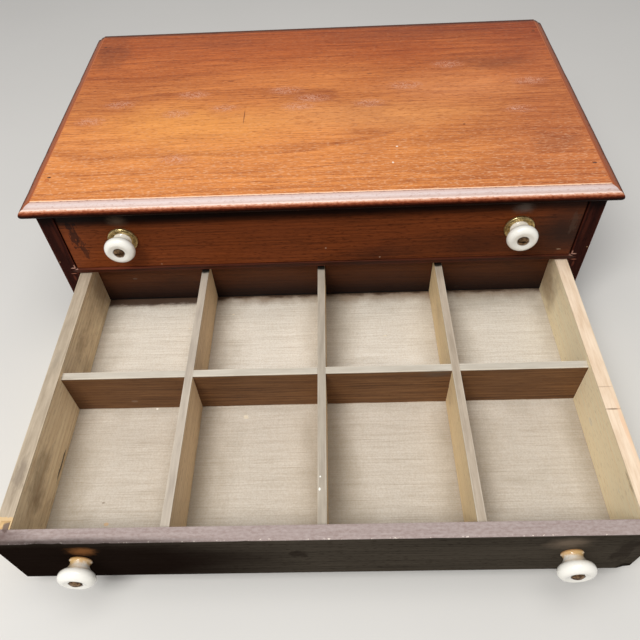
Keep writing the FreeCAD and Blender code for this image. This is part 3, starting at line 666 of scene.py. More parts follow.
def slice_up(shape, axis, step):
    """Cuts a board across every step of its length, so that its edges can wear unevenly."""
    at = [v.co[axis] for v in shape.verts]
    low, high = min(at), max(at)
    count = max(1, round((high - low) / step))
    normal = Vector([1.0 if n == axis else 0.0 for n in range(3)])
    for index in range(1, count):
        where = low + (high - low) * (index + 0.23 * math.sin(index * 7.3)) / count
        everything = shape.verts[:] + shape.edges[:] + shape.faces[:]
        bmesh.ops.bisect_plane(shape, geom=everything, plane_co=normal * where, plane_no=normal)


def press_dents(shape, dents):
    """Pushes edges in round each dent: (centre, radius, depth), in millimetres."""
    for centre, radius, depth in dents:
        middle = Vector(centre) * MM
        reach = radius * MM
        for v in shape.verts:
            away = (v.co - middle).length
            if away < reach:
                v.co -= v.normal * (depth * MM * (1 - (away / reach) ** 2))


def merged_copy(node):
    """A CAD node's loose triangles as one joined shape."""
    shape = bmesh.new()
    shape.from_mesh(NODES[node].data)
    bmesh.ops.remove_doubles(shape, verts=shape.verts, dist=2e-6)
    return shape


def worn_board(node, name, material, body, slot, axis=0, step=0.012, wear=0.0008, dents=(), seed=0.0):
    """A board from a CAD node with softened, unevenly rubbed edges."""
    shape = merged_copy(node)
    bmesh.ops.dissolve_limit(shape, angle_limit=math.radians(0.6), verts=shape.verts, edges=shape.edges)
    long_edges = [e.calc_length() >= 0.003 for e in shape.edges]
    layer = shape.edges.layers.float.new("bevel_weight_edge")
    for e, is_long in zip(shape.edges, long_edges):
        e[layer] = 1.0 if is_long else 0.0
    slice_up(shape, axis, step)
    for e in shape.edges:
        if not (e.is_manifold and e.is_convex and e.calc_face_angle(0.0) > math.radians(35)):
            e[layer] = 0.0
        middle = (e.verts[0].co + e.verts[1].co) / 2
        uneven = noise.noise(middle * 42 + Vector((seed, 0, 0))) + 0.6 * noise.noise(middle * 160)
        e[layer] *= min(1.0, max(0.18, 0.5 + 0.55 * uneven))
    shape.normal_update()
    press_dents(shape, dents)
    made = from_bmesh(name, shape)
    rounding = made.modifiers.new("arris", "BEVEL")
    rounding.limit_method = "WEIGHT"
    rounding.width = wear
    rounding.segments = 2
    rounding.use_clamp_overlap = True
    flat_shading(made)
    return piece(name, finished_mesh(made), material, body, slot, node)


def smooth_copy(node, name, material, body, slot, angle):
    """A merged copy of a CAD node, smooth except at its sharp edges."""
    shape = merged_copy(node)
    for e in shape.edges:
        e.smooth = e.is_manifold and e.calc_face_angle(0.0) < math.radians(angle)
    return piece(name, finished_mesh(from_bmesh(name, shape)), material, body, slot, node)


def moulding_profile(bead, foot):
    """(in from the outermost line, height, run) from the flat field down to the foot, in metres."""
    head = foot + 2 * bead + 0.004
    inner = bead + 0.006
    rows = [(inner + 0.0035, head, -0.2), (inner + 0.0012, head, -0.1), (inner + 0.0003, head - 0.00005, 0.0),
            (inner, head - 0.0003, 0.05), (inner, head - 0.0009, 0.09),
            (inner - 0.0001, head - 0.00105, 0.12)]
    top, low, radius = Vector((inner, head - 0.001)), Vector((bead, head - 0.004)), 0.008
    chord = low - top
    across = Vector((chord.y, -chord.x)).normalized()
    centre = (top + low) / 2 - across * math.sqrt(radius**2 - (chord.length / 2) ** 2)
    first = math.atan2(top.y - centre.y, top.x - centre.x)
    last = math.atan2(low.y - centre.y, low.x - centre.x)
    for k in range(1, 9):
        a = first + (last - first) * k / 8
        rows.append((centre.x + radius * math.cos(a), centre.y + radius * math.sin(a), 0.15 + 0.35 * k / 8))
    for k in range(1, 19):
        a = math.radians(90 + 10 * k)
        rows.append((bead + bead * math.cos(a), foot + bead + bead * math.sin(a), 0.5 + 0.5 * k / 18))
    return rows


# Knocks in the top's moulding: (centre, radius, depth), in millimetres.
KNOCKS = (((-277, -176, 190), 4, 0.9), ((262, -176, 189), 3, 0.5), ((-281, 60, 189), 5, 0.6))


def moulded_slab(node, name, material, bead, seed):
    """The top or bottom board: a gently uneven field with its moulding run round three sides."""
    low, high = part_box(node)
    side_steps, front_steps = 44, 76
    shape = bmesh.new()
    run_layer = shape.verts.layers.float.new("run")

    def vertex(x, y, z, run=-0.3):
        v = shape.verts.new((x, y, z))
        v[run_layer] = run
        return v

    rings = []
    for d, z, run in moulding_profile(bead, low.z):
        left, right, front, back = low.x + d, high.x - d, low.y + d, high.y
        line = [(left, back + (front - back) * k / side_steps) for k in range(side_steps)]
        line += [(left + (right - left) * k / front_steps, front) for k in range(front_steps)]
        line += [(right, front + (back - front) * k / side_steps) for k in range(side_steps + 1)]
        rings.append([vertex(x, y, z, run) for x, y in line])
    for above, below in zip(rings, rings[1:]):
        for k in range(len(above) - 1):
            shape.faces.new((above[k], below[k], below[k + 1], above[k + 1]))

    def field(ring, upward, run):
        """Fills the inside of a ring with a grid and returns its back edge."""
        grid = []
        for row in range(side_steps + 1):
            start, end = ring[row], ring[-1 - row]
            if row == side_steps:
                line = ring[side_steps:side_steps + front_steps]
            else:
                line = [start] + [
                    vertex(*start.co.lerp(end.co, k / front_steps), run) for k in range(1, front_steps)]
            grid.append(line + [end])
        for first, second in zip(grid, grid[1:]):
            for k in range(front_steps):
                corners = (first[k], second[k], second[k + 1], first[k + 1])
                shape.faces.new(corners if upward else corners[::-1])
        return grid[0]

    top_edge = field(rings[0], True, -0.3)
    foot_edge = field(rings[-1], False, 1.0)
    left_end = [ring[0] for ring in rings]
    right_end = [ring[-1] for ring in rings]
    shape.faces.new(top_edge + right_end[1:] + foot_edge[::-1][1:] + left_end[::-1][1:-1])

    for v in shape.verts:
        at, run = v.co.copy(), v[run_layer]
        if run < -0.25 and at.y < high.y - 0.002:
            v.co.z -= 0.00012 + 0.00016 * max(0.0, noise.noise(at * 14 + Vector((seed, 0, 0))))
        elif 0.2 < run < 0.98 and at.y < high.y - 0.001:
            rubbed = max(0.0, noise.noise(at * 55 + Vector((0, seed, 0))) - 0.1)
            ends = min(at.x - low.x, high.x - at.x)
            inward = Vector((0, 1, 0)) if at.y - low.y <= ends else Vector((-math.copysign(1, at.x), 0, 0))
            v.co += (inward * 0.0003 - Vector((0, 0, 0.0004))) * rubbed
    for centre, radius, depth in KNOCKS:
        middle = Vector(centre) * MM
        for v in shape.verts:
            away = (v.co - middle).length / (radius * MM)
            if away < 1:
                v.co.z -= depth * MM * (1 - away**2)
    for v in shape.verts:
        v.co.z = max(v.co.z, low.z)
    made = from_bmesh(name, shape)
    flat_shading(made)
    return piece(name, finished_mesh(made), material, "case", "show_wood", node)


# ---------------------------------------------------------------- fasteners

def build_fastener_tree():
    """Geometry nodes that stand a copy of a pattern on each point, turned to face outwards."""
    tree = bpy.data.node_groups.new("fastener_set", "GeometryNodeTree")
    face = tree.interface
    kinds = (("Geometry", "Geometry"), ("Pattern", "Object"), ("Turn", "Float"), ("Seed", "Int"),
             ("Finish", "Material"))
    ids = {name: face.new_socket(name=name, in_out="INPUT", socket_type="NodeSocket" + kind).identifier
           for name, kind in kinds}
    face.new_socket(name="Geometry", in_out="OUTPUT", socket_type="NodeSocketGeometry")
    g = Tree(tree)
    entry = g.add("NodeGroupInput").outputs
    leave = g.add("NodeGroupOutput")
    pattern = g.add("GeometryNodeObjectInfo", {"Object": entry["Pattern"], "As Instance": True})
    facing = g.first("GeometryNodeInputNamedAttribute", {"Name": "facing"}, data_type="FLOAT_VECTOR")
    span = {2: 0.0, 3: entry["Turn"], "Seed": entry["Seed"]}
    turn = g.add("FunctionNodeRandomValue", span, data_type="FLOAT").outputs[1]
    spin = g.first("FunctionNodeAxisAngleToRotation", {"Axis": (0, 0, 1), "Angle": turn})
    aim = g.first("FunctionNodeAlignRotationToVector", {"Vector": facing}, axis="Z")
    both = g.first("FunctionNodeRotateRotation", {0: aim, 1: spin}, rotation_space="LOCAL")
    size = g.add("FunctionNodeRandomValue", {2: 0.94, 3: 1.0, "Seed": 4}, data_type="FLOAT").outputs[1]
    stand = g.first("GeometryNodeInstanceOnPoints", {
        "Points": entry["Geometry"], "Instance": pattern.outputs["Geometry"], "Rotation": both,
        "Scale": size})
    real = g.first("GeometryNodeRealizeInstances", {0: stand})
    g.feed(leave.inputs[0], g.first("GeometryNodeSetMaterial", {0: real, "Material": entry["Finish"]}))
    return tree, ids


FASTENER_TREE, FASTENER_INPUTS = build_fastener_tree()


def head_pattern(name, radius, length, dome, slot=0.0):
    """A round head and shank below it, its crown at the origin; a slot crosses it if one is given."""
    shape = bmesh.new()
    rings = ((radius * 0.02, 0.0), (radius * 0.55, -dome * 0.3), (radius * 0.9, -dome * 0.85),
             (radius, -dome * 1.5), (radius, -length * 0.35), (radius * 0.6, -length * 0.5),
             (radius * 0.6, -length))
    around = 20
    rows = []
    for r, z in rings:
        angles = [math.tau * k / around for k in range(around)]
        rows.append([shape.verts.new((r * math.cos(a), r * math.sin(a), z)) for a in angles])
    for upper, lower in zip(rows, rows[1:]):
        for k in range(around):
            shape.faces.new((upper[k], lower[k], lower[(k + 1) % around], upper[(k + 1) % around]))
    shape.faces.new(rows[0])
    shape.faces.new(rows[-1][::-1])
    for v in shape.verts:
        if slot and abs(v.co.y) < slot and v.co.z > -dome * 1.2:
            v.co.z -= slot
        elif v.co.z > -dome * 1.6:
            v.co.z -= 0.06 * radius * abs(noise.noise(v.co * 900 + Vector((7, 1, 3))))
    return from_bmesh(name, shape)


def brad_pattern(name, length, thick=0.0016, wide=0.0024):
    """A cut brad, wider at its flat head than at its tip."""
    shape = bmesh.new()
    bmesh.ops.create_cube(shape, size=1.0)
    for v in shape.verts:
        narrow = 0.62 if v.co.z < 0 else 1.0
        v.co = Vector((v.co.x * wide * narrow, v.co.y * thick * narrow, (v.co.z - 0.5) * length))
    bmesh.ops.bevel(shape, geom=shape.edges[:], offset=thick * 0.12, segments=1, affect="EDGES")
    return from_bmesh(name, shape)


def parts_of(node):
    """The box of each separate solid of a CAD node."""
    shape = merged_copy(node)
    left = set(shape.verts)
    boxes = []
    while left:
        waiting = [left.pop()]
        found = []
        while waiting:
            v = waiting.pop()
            found.append(v.co.copy())
            for e in v.link_edges:
                other = e.other_vert(v)
                if other in left:
                    left.remove(other)
                    waiting.append(other)
        boxes.append((Vector([min(c[n] for c in found) for n in range(3)]),
                      Vector([max(c[n] for c in found) for n in range(3)])))
    shape.free()
    return sorted(boxes, key=lambda b: tuple(b[0]))


# How far fasteners are turned at random, in radians.
ANY_TURN = 6.2
SLIGHT_TURN = 0.2


def fasteners(node, name, pattern, material, body, slot, facing, turn, seed):
    """Replaces a node's fasteners by copies of a pattern, each with its head where the CAD has it."""
    points, ways = [], []
    for low, high in parts_of(node):
        middle = (low + high) / 2
        way = Vector(facing) if facing else Vector((math.copysign(1, middle.x), 0, 0))
        half = (high - low) / 2
        points.append(middle + Vector([w * h for w, h in zip(way, half)]))
        ways.append(way)
    mesh = bpy.data.meshes.new(name)
    mesh.from_pydata(points, [], [])
    facings = mesh.attributes.new("facing", "FLOAT_VECTOR", "POINT")
    facings.data.foreach_set("vector", [c for way in ways for c in way])
    made = in_scene(name + "_points", mesh)
    modifier = made.modifiers.new("fasteners", "NODES")
    modifier.node_group = FASTENER_TREE
    for key, value in (("Pattern", pattern), ("Turn", turn), ("Seed", seed), ("Finish", material)):
        modifier[FASTENER_INPUTS[key]] = value
    baked = finished_mesh(made)
    bpy.data.objects.remove(pattern)
    return piece(name, baked, material, body, slot, node)


# ---------------------------------------------------------------- dress the case

FACE = -161.5  # the case's front, in millimetres
STEEL = old_metal("aged_steel", (128, 116, 104), (74, 64, 56), (96, 62, 44), 0.42)
SCREW_STEEL = old_metal("knob_screw_steel", (146, 118, 88), (86, 64, 48), (96, 58, 36), 0.34, 420.0)
BRASS = old_metal("aged_brass", (214, 192, 138), (138, 118, 76), (98, 92, 66), 0.26, 260.0, 0.35)
EDGE = 262  # a side board's chipped front edge, from the middle of the case, in millimetres
# Chips at that edge, with a painted highlight down the stile and a painted shadow under the top's moulding:
# how far out from it and how high, size, ragged, soft, tone, strength.
EDGE_CHIPS_AND_PAINTED_LIGHT = (
    ((1, 103.5), (3.6, 4, 0.9), 0.3, 0.5, (206, 158, 140), 0.8),
    ((-1, 106), (0.9, 4, 3), 0.3, 0.5, (200, 150, 130), 0.7),
    ((3, 95.5), (4, 4, 0.7), 0.3, 0.5, (176, 112, 88), 0.7),
    ((4, 89), (1.6, 4, 5), 0.4, 0.5, (112, 58, 42), 0.5),
    ((12, 113), (0.8, 4, 0.7), 0.2, 0.3, (224, 184, 140), 0.5),
    # A painted highlight down the stile.
    ((3, 146), (2.5, 4, 30), 0.4, 0.6, (96, 46, 32), 0.28),
    # Painted shadow under the top's moulding.
    ((6, 174), (20, 6, 16), 0.2, 0.8, (9, 4, 3), 0.8),
)


def case_sides():
    """The two side boards."""
    for node, side in (("left_side", -1), ("right_side", 1)):
        wood = polished_wood(
            "polished_" + node, node, "Z", (56, 22, 15), (34, 13, 9), (0.3 * side, 0.2, 0.7), (92, 44, 31),
            0.4, (22, 9, 6), [(((EDGE + out) * side, FACE, up), *rest) for (out, up), *rest in EDGE_CHIPS_AND_PAINTED_LIGHT],
            spacing=0.006, rough=0.5, gloss=0.03)
        worn_board(node, "worn_" + node, wood, "case", "show_wood", 2, 0.01, 0.0009, seed=side * 4.0)


def case_rail():
    """The rail between the drawers, pale where its points are let in, with a painted highlight on the left of
    its nose.
    """
    wood = polished_wood(
        "polished_rail", "drawer_rail", "X", (61, 27, 12), (39, 17, 7), (0.9, 0.4, 0.1), (90, 40, 23), 0.6,
        (34, 17, 11), rub_width=0.002, gloss=0.15, marks=(
            # A painted highlight along the left of the rail's nose.
            ((-215, FACE, 101), (60, 6, 2), 0.3, 0.8, (128, 62, 40), 0.7),
            ((-261, FACE, 101.5), (3.2, 5, 0.9), 0.4, 0.5, (206, 158, 140), 0.8),
            ((263, FACE, 101.5), (5, 5, 1.0), 0.4, 0.5, (212, 168, 148), 0.85),
        ))
    worn_board("drawer_rail", "worn_rail", wood, "case", "show_wood", 0, 0.009, 0.0012, seed=2.0)


def case_inside():
    """The back, the dust board and the drawer stops."""
    wood = bare_wood(
        "back_wood", "back_board", "X", (138, 100, 68), (96, 64, 44), (64, 46, 34), (0.5, 0.9, 0.2), 0.6,
        edge_tone=(156, 122, 90))
    worn_board("back_board", "worn_back", wood, "case", "case_wood", 0, 0.02, 0.0008, seed=7.0)
    wood = bare_wood("dust_board_wood", "dust_board", "X", (150, 122, 92), (110, 84, 62), (84, 66, 50))
    dress("dust_board", wood)
    wood = bare_wood("stop_wood", "lower_drawer_stops", "X", (160, 128, 92), (118, 88, 62), (92, 70, 52))
    dress("upper_drawer_stops", wood)
    dress("lower_drawer_stops", wood)


def case_fasteners():
    """Plugs over the top's screws, and the screws and brads below and behind."""
    wood = bare_wood(
        "plug_wood", "top_plugs", "Z", (206, 122, 64), (160, 86, 44), (150, 78, 44), spacing=0.002,
        specks=0.0, marks=(
            ((-263, -129.5, TOP), (2.4, 1.3, 3), 0.4, 0.4, (44, 32, 34), 0.8),
            ((265, -134, TOP), (3.6, 1.2, 3), 0.4, 0.4, (66, 56, 60), 0.85),
            ((265, 131.5, TOP), (6, 6, 3), 0.2, 0.1, (142, 76, 50), 0.92),
            ((-265, 131.5, TOP), (6, 6, 3), 0.2, 0.1, (150, 82, 50), 0.92),
            ((265, 132, TOP), (2.4, 1.5, 3), 0.4, 0.4, (90, 46, 32), 0.5),
            ((-264, 132, TOP), (2.8, 1.5, 3), 0.4, 0.4, (78, 54, 50), 0.7),
        ))
    dress("top_screws", STEEL)
    plug = head_pattern("plug", radius=0.003, length=0.003, dome=0.00004)
    fasteners("top_plugs", "worn_top_plugs", plug, wood, "case", "dark_wood", (0, 0, 1), ANY_TURN, seed=3)
    screw = head_pattern("screw", radius=0.003, length=0.034, dome=0.0003, slot=0.0006)
    fasteners("bottom_screws", "slotted_bottom_screws", screw, STEEL, "case", "steel", (0, 0, -1), ANY_TURN,
              seed=5)
    brad = brad_pattern("back_brad", length=0.018)
    fasteners("back_brads", "cut_back_brads", brad, STEEL, "case", "steel", (0, 1, 0), SLIGHT_TURN, seed=7)


moulded_slab("top_board", "moulded_top", slab_top("polished_top", "top_board"), bead=0.005, seed=3.0)
moulded_slab(
    "bottom_board", "moulded_base", moulded_base("polished_base", "bottom_board"), bead=0.007, seed=9.0)
case_sides()
case_rail()
case_inside()
case_fasteners()

# ---------------------------------------------------------------- dress the drawers

# Marks on the drawer fronts, with painted shadow, sheen and knob reflections among them; the middle number of
# a place is how far it lies behind the face.
PULLED_FRONT_MARKS_AND_PAINTED_SHEEN = (
    ((-230, 0, 50), (240, 8, 80), 0.1, 0.6, (20, 11, 8), 0.92),
    ((-249, 14, 94), (4, 5, 6), 0.3, 0.4, (112, 96, 90), 0.9),
    ((251, 15, 94), (6, 6, 6), 0.3, 0.4, (104, 92, 88), 0.85),
    ((-262, 6, 95), (40, 9, 4), 0.3, 0.9, (70, 44, 38), 0.7),
    # A painted grey sheen across the right of the front.
    ((170, 0, 60), (150, 5, 24), 0.4, 0.9, (80, 73, 64), 0.4),
    ((-20, 0, 64), (9, 3, 9), 0.5, 0.4, (30, 22, 18), 0.5),
    # Painted reflections of the knobs above them, brown on the left, grey on the right.
    ((-192, 0, 77), (17, 4, 11), 0.3, 0.9, (140, 92, 54), 0.8),
    ((192, 0, 78), (24, 4, 15), 0.3, 0.9, (132, 116, 100), 0.65),
    ((252, 0, 22), (8, 4, 7), 0.4, 0.5, (24, 18, 15), 0.7),
    ((240, 0, 60), (12, 4, 26), 0.6, 0.5, (40, 33, 29), 0.5),
)
SHUT_FRONT_MARKS_AND_PAINTED_LIGHT = (
    ((-253, 0, 138), (6, 4, 26), 0.4, 0.7, (130, 64, 32), 0.6),
    ((-247, 0, 150), (5, 4, 16), 2.0, 0.4, (26, 20, 20), 0.7),
    ((-243, 0, 130), (4, 4, 13), 2.0, 0.4, (34, 26, 24), 0.6),
    ((160, 0, 120), (120, 4, 36), 0.3, 1.0, (38, 25, 19), 0.6),
    ((60, 0, 110), (80, 4, 16), 0.35, 0.9, (54, 30, 20), 0.4),
    ((244, 0, 134), (66, 4, 64), 0.2, 1.0, (44, 32, 27), 0.9),
    ((252, 0, 146), (5, 4, 15), 0.8, 0.5, (86, 68, 56), 0.4),
    ((-60, 0, 150), (140, 4, 18), 0.4, 0.9, (124, 62, 32), 0.3),
    # Painted shadow of the top's moulding along the upper edge, deeper on the left.
    ((0, 0, 174), (900, 8, 18), 0.12, 0.75, (8, 3, 3), 0.95),
    ((-190, 0, 170), (190, 8, 15), 0.15, 0.8, (10, 4, 3), 0.8),
    # Painted reflections of the knobs in the polish above them.
    ((199, 0, 166), (14, 4, 10), 0.3, 0.95, (116, 106, 98), 0.55),
    ((-199, 0, 166), (14, 4, 10), 0.3, 0.95, (110, 90, 74), 0.5),
    ((246, 0, 110), (3, 3, 0.8), 0.4, 0.5, (190, 160, 130), 0.6),
    ((6, 0, 121), (1.1, 3, 0.9), 0.3, 0.4, (204, 176, 150), 0.6),
    ((62, 0, 106), (1.1, 3, 0.9), 0.3, 0.4, (204, 176, 150), 0.6),
    ((164, 0, 101), (3, 3, 0.8), 0.3, 0.4, (170, 140, 116), 0.5),
    ((-168, 0, 105), (1.2, 3, 0.8), 0.3, 0.4, (190, 160, 130), 0.5),
)
# Dents along the pulled front's upper edge: (across, radius, depth), in millimetres.
FRONT_DENTS = ((-222, 5, 1.1), (-215, 4, 0.8), (-206, 4.5, 0.9), (-168, 4, 0.6), (-60, 5, 0.5), (88, 4, 0.5),
               (190, 5, 0.5))
# Light and dark wood, clouds and how much of them, the worn top edge's tones, raw wood in front.
SIDE_LOOKS = {
    "left": ((255, 238, 202), (214, 182, 140), (142, 110, 76), 0.6, ((196, 180, 158), (144, 128, 108)),
             0.85),
    "right": ((255, 244, 210), (255, 230, 186), (240, 204, 156), 0.3, ((252, 230, 204), (208, 174, 138)),
              0.35),
}
# Light and dark wood, the worn top edge's tones, and spots on the pulled drawer's dividers.
DIVIDER_LOOKS = {
    "left": ((248, 222, 182), (212, 180, 140), ((198, 186, 170), (154, 142, 130)), ()),
    "middle": ((240, 216, 178), (204, 176, 138), ((184, 173, 157), (146, 135, 121)), (
        ((-2, -409, 88.8), (1, 1.6, 3), 0.3, 0.3, (250, 248, 240), 0.9),
        ((-1.5, -398, 88.8), (0.8, 1, 3), 0.3, 0.3, (250, 248, 240), 0.9))),
    "right": ((252, 228, 182), (222, 192, 146), ((196, 181, 162), (152, 137, 119)), (
        ((116, -309, 88), (4, 9, 4), 0.6, 0.3, (222, 196, 150), 0.7),)),
}


def grain_place(pulled, n):
    """A place in the grain for a drawer's nth board, so that no two boards look alike."""
    shift = 0.0 if pulled else 0.35
    return shift + n * 0.37, shift * 0.6 + n * 0.23, shift * 0.4 + n * 0.31


def drawer_front(prefix, pulled):
    """The front: brown under a painted shadow of the top's moulding on the shut drawer; dark and grey on the
    other, with painted shade and sheen, and dented.
    """
    node = prefix + "_drawer_front"
    low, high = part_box(node)
    face = (low / MM).y
    name, place, dents = prefix + "_front_wood", grain_place(pulled, 1), ()
    marks = [((x, face + back, z), *rest)
             for (x, back, z), *rest in (PULLED_FRONT_MARKS_AND_PAINTED_SHEEN if pulled else SHUT_FRONT_MARKS_AND_PAINTED_LIGHT)]
    if pulled:
        # Dark stained wood, painted darker and greyer than the shut front as shade and a grey sheen.
        wood = polished_wood(
            name, node, "X", (78, 71, 62), (48, 43, 37), place, (80, 70, 60), 0.3, (22, 15, 10), marks,
            top=((180, 166, 162), (138, 117, 111)), rough=0.55, gloss=0.0,
            raw=(low.y + 0.0122, (222, 188, 138), (196, 160, 112)))
        dents = [((x, low.y / MM, high.z / MM), radius, depth) for x, radius, depth in FRONT_DENTS]
        dents.append(((259, low.y / MM, low.z / MM), 12, 2.5))
    else:
        wood = polished_wood(
            name, node, "X", (137, 69, 33), (85, 42, 20), place, (96, 46, 26), 0.4, (44, 22, 13), marks,
            rough=0.45, gloss=0.05, fibres=0.5, streaks=0.12, fineness=640.0)
    worn_board(node, prefix + "_worn_front", wood, prefix + "_drawer", "show_wood", 0, 0.006, 0.0011, dents,
               1.0 + len(prefix))


def side_marks_and_shade(side, joint, top):
    """Marks on the pulled drawer's sides: raw wood at the front joint, scuffs, stains and cracks, and painted
    shade on the inner faces where they go into the case.
    """
    if side == "left":
        return (
            ((-246, -356, 41), (3, 20, 1.5), 0.8, 0.3, (34, 24, 18), 0.85),
            ((-252, joint + 40, top), (6, 22, 3), 0.6, 0.7, (120, 106, 92), 0.55),
            ((-246, -240, 72), (3, 26, 14), 0.7, 0.8, (140, 108, 74), 0.45),
            ((-246, -385, 72), (3, 40, 18), 0.7, 0.8, (120, 96, 70), 0.45),
            ((-253, -276, top), (6, 18, 3), 0.6, 0.8, (150, 138, 122), 0.5),
            # Painted shade of the case on the inner face.
            ((-246, -160, 68), (3, 44, 44), 0.4, 0.9, (98, 66, 42), 0.6),
        )
    return (
        ((251, -320, top), (8, 0.7, 3), 0.3, 0.4, (150, 122, 96), 0.4),
        ((252, -343, top), (8, 0.9, 3), 0.3, 0.4, (128, 100, 76), 0.8),
        ((257, joint + 70, top), (3, 50, 3), 0.6, 0.8, (240, 196, 158), 0.6),
        ((247, joint + 24, top - 3), (2, 16, 3), 0.5, 0.6, (150, 116, 76), 0.6),
        # Painted shade of the case on the inner face.
        ((246, -156, 66), (3, 50, 46), 0.4, 0.9, (124, 86, 52), 0.7),
    )


def drawer_sides(prefix, pulled):
    """The two sides, raw where they meet the front."""
    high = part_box(prefix + "_drawer_front")[1]
    for side, (light, dark, cloud, amount, top, raw) in SIDE_LOOKS.items():
        node = f"{prefix}_{side}_drawer_side"
        wood = bare_wood(
            f"{prefix}_{side}_side_wood", node, "Y", light, dark, cloud, grain_place(pulled, 2 + len(side)),
            amount, top=top, cloud=0.045, edge_tone=(226, 208, 176), edged=0.35,
            marks=side_marks_and_shade(side, high.y / MM, high.z / MM) if pulled else (),
            raw_end=(high.y + 0.003, (220, 186, 136), raw))
        worn_board(node, f"{prefix}_worn_{side}_side", wood, prefix + "_drawer", "drawer_side_wood", 1, 0.011,
                   0.0009, seed=5.0)


def drawer_dividers(prefix, pulled):
    """The long dividers and the cross divider; returns where the long ones stand and the cross."""
    body = prefix + "_drawer"
    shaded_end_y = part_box(prefix + "_drawer_back")[0].y / MM - 8
    places = []
    for side, (light, dark, top, spots) in DIVIDER_LOOKS.items():
        node = f"{prefix}_{side}_divider"
        low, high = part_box(node)
        places.append((low.x + high.x) / 2)
        # Painted shadow: a near-black patch at the back end of each divider's top, under the rail.
        slot = ((places[-1] / MM, shaded_end_y, high.z / MM), (9, 6, 3), 0.2, 0.5, (14, 9, 6), 0.95)
        wood = bare_wood(
            f"{prefix}_{side}_divider_wood", node, "Y", light, dark, (128, 106, 82),
            grain_place(pulled, 5 + len(side)), 0.45, edge_tone=(214, 204, 186), edge_width=0.0009,
            edged=0.4, top=top, marks=(spots if pulled else ()) + (slot,))
        worn_board(node, f"{prefix}_worn_{side}_divider", wood, body, "drawer_side_wood", 1, 0.012, 0.0006,
                   seed=3.0)
    node = prefix + "_cross_divider"
    low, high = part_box(node)
    face = low.y / MM
    wood = bare_wood(
        prefix + "_cross_wood", node, "X", (138, 98, 62), (86, 56, 34), (78, 54, 33), grain_place(pulled, 9),
        0.4, spacing=0.004, specks=0.1, fibres=0.5, top=((206, 198, 184), (180, 170, 154)),
        edge_tone=(226, 216, 198), edge_width=0.0011, marks=(
            ((-240, face, 60), (12, 3, 40), 0.4, 0.8, (84, 54, 32), 0.5),
            ((110, face, 84), (26, 3, 8), 0.4, 0.8, (96, 84, 72), 0.5),
        ))
    worn_board(node, prefix + "_worn_cross_divider", wood, body, "dark_wood", 0, 0.01, 0.0006, seed=6.0)
    return places, (low.y + high.y) / 2


def drawer_knobs(prefix, pulled):
    """China knobs with their screws, and brass plates on the shut drawer."""
    body = prefix + "_drawer"
    for side, sign in (("left", -1), ("right", 1)):
        node = f"{prefix}_{side}_knob"
        low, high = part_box(node)
        centre = ((low.x + high.x) / 2, high.y, (low.z + high.z) / 2)
        glaze = china(f"{prefix}_{side}_china", centre, 0.9 if pulled else 0.12, sign)
        smooth_copy(node, f"{prefix}_{side}_china_knob", glaze, body, "china", 38)
        smooth_copy(node + "_screw", f"{prefix}_{side}_slotted_screw", SCREW_STEEL, body, "steel", 30)
        if not pulled:
            plate = f"{prefix}_{side}_backplate"
            smooth_copy(plate, f"{prefix}_{side}_brass_plate", BRASS, body, "brass", 40)


def dress_drawer(prefix, pulled):
    """Boards, dividers and fittings of one drawer."""
    drawer_front(prefix, pulled)
    drawer_sides(prefix, pulled)
    places, cross_y = drawer_dividers(prefix, pulled)
    node, body = prefix + "_drawer_back", prefix + "_drawer"
    # The back gets painted shade at its foot and painted shadow stripes above the dividers.
    wood = bare_wood(
        prefix + "_back_wood", node, "X", (111, 61, 28), (78, 40, 17), (46, 26, 13), grain_place(pulled, 4),
        0.5, foot=True, shadow_stripes=places, specks=0.1)
    worn_board(node, prefix + "_worn_drawer_back", wood, body, "dark_wood", 0, 0.02, 0.0007)
    back_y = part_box(node)[0].y
    node = prefix + "_drawer_bottom"
    dress(node, drawer_floor(
        prefix + "_floor_wood", node, places, cross_y, back_y, grain_place(pulled, 10)))
    brad = brad_pattern(prefix + "_brad", length=0.0098)
    fasteners(prefix + "_drawer_brads", prefix + "_cut_drawer_brads", brad, STEEL, body, "steel", None,
              SLIGHT_TURN, seed=11)
    drawer_knobs(prefix, pulled)


dress_drawer("upper", False)
dress_drawer("lower", True)

# ---------------------------------------------------------------- floor, light and camera

def lamp(name, at, aim, size, power, colour):
    """A soft rectangular lamp."""
    light = bpy.data.lights.new(name, "AREA")
    light.shape = "RECTANGLE"
    light.size, light.size_y = size
    light.energy, light.color = power, colour
    made = in_scene(name, light)
    made.location = at
    made.rotation_mode = "QUATERNION"
    made.rotation_quaternion = (Vector(aim) - Vector(at)).to_track_quat("-Z", "Y")


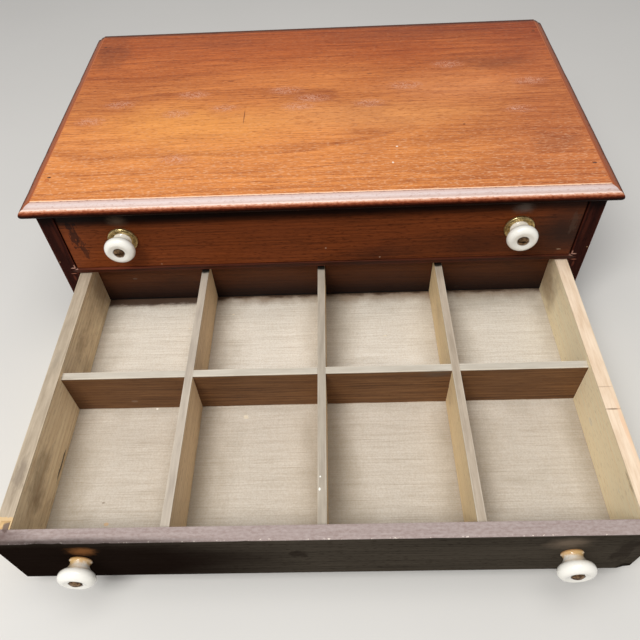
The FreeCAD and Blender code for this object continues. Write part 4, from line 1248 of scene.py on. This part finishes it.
def build_floor():
    """A plain pale floor."""
    half = 6.0
    corners = [(-half, -half, 0), (half, -half, 0), (half, half, 0), (-half, half, 0)]
    mesh = bpy.data.meshes.new("floor")
    mesh.from_pydata(corners, [], [(0, 1, 2, 3)])
    floor = in_scene("floor", mesh)
    f = Finish("pale_floor")
    cloudy = f.noise(f.place, 3.0, 3.0)
    f.colour = f.mix(cloudy, (216, 214, 210), (224, 222, 218))
    mesh.materials.append(f.shade(0.8, cloudy, 0.02, 0.001, Specular_IOR_Level=0.1))


def build_light():
    """An evenly lit room, a broad lamp overhead and a stronger one from the left, like a window."""
    world = bpy.data.worlds.new("soft_room")
    bpy.context.scene.world = world
    world.use_nodes = True
    world.node_tree.nodes.clear()
    tree = Tree(world.node_tree)
    room = tree.first("ShaderNodeBackground", {"Color": shown(250, 250, 252), "Strength": 0.38})
    tree.add("ShaderNodeOutputWorld", {0: room})
    lamp("overhead", (0.05, -0.4, 1.75), (0, -0.15, 0.1), (1.2, 0.8), 9.0, (1.0, 0.985, 0.96))
    lamp("window", (-0.5, -1.1, 1.6), (0, -0.22, 0.1), (0.7, 0.6), 19.5, (1.0, 0.99, 0.97))


def build_camera():
    """A camera that looks down on the pulled out drawer."""
    place = (0.01654, -0.62744, 0.56646)
    frame_width, focal, sensor = 640, 622.5, 36.0  # the first two in pixels, the sensor in millimetres
    pitch, yaw, roll = (math.radians(a) for a in (-50.2, -2.58, -3.49))
    ahead = Vector((math.sin(yaw) * math.cos(pitch), math.cos(yaw) * math.cos(pitch), math.sin(pitch)))
    right = Vector((math.cos(yaw), -math.sin(yaw), 0))
    up = right.cross(ahead)
    across = right * math.cos(roll) + up * math.sin(roll)
    upward = up * math.cos(roll) - right * math.sin(roll)
    data = bpy.data.cameras.new("camera")
    data.sensor_width = sensor
    data.lens = focal / frame_width * sensor
    data.clip_start = 0.01
    camera = in_scene("camera", data)
    turn = Matrix((across, upward, -ahead)).transposed()
    camera.matrix_world = Matrix.Translation(place) @ turn.to_4x4()
    bpy.context.scene.camera = camera
    bpy.context.scene.view_settings.view_transform = "Standard"


build_floor()
build_light()
build_camera()
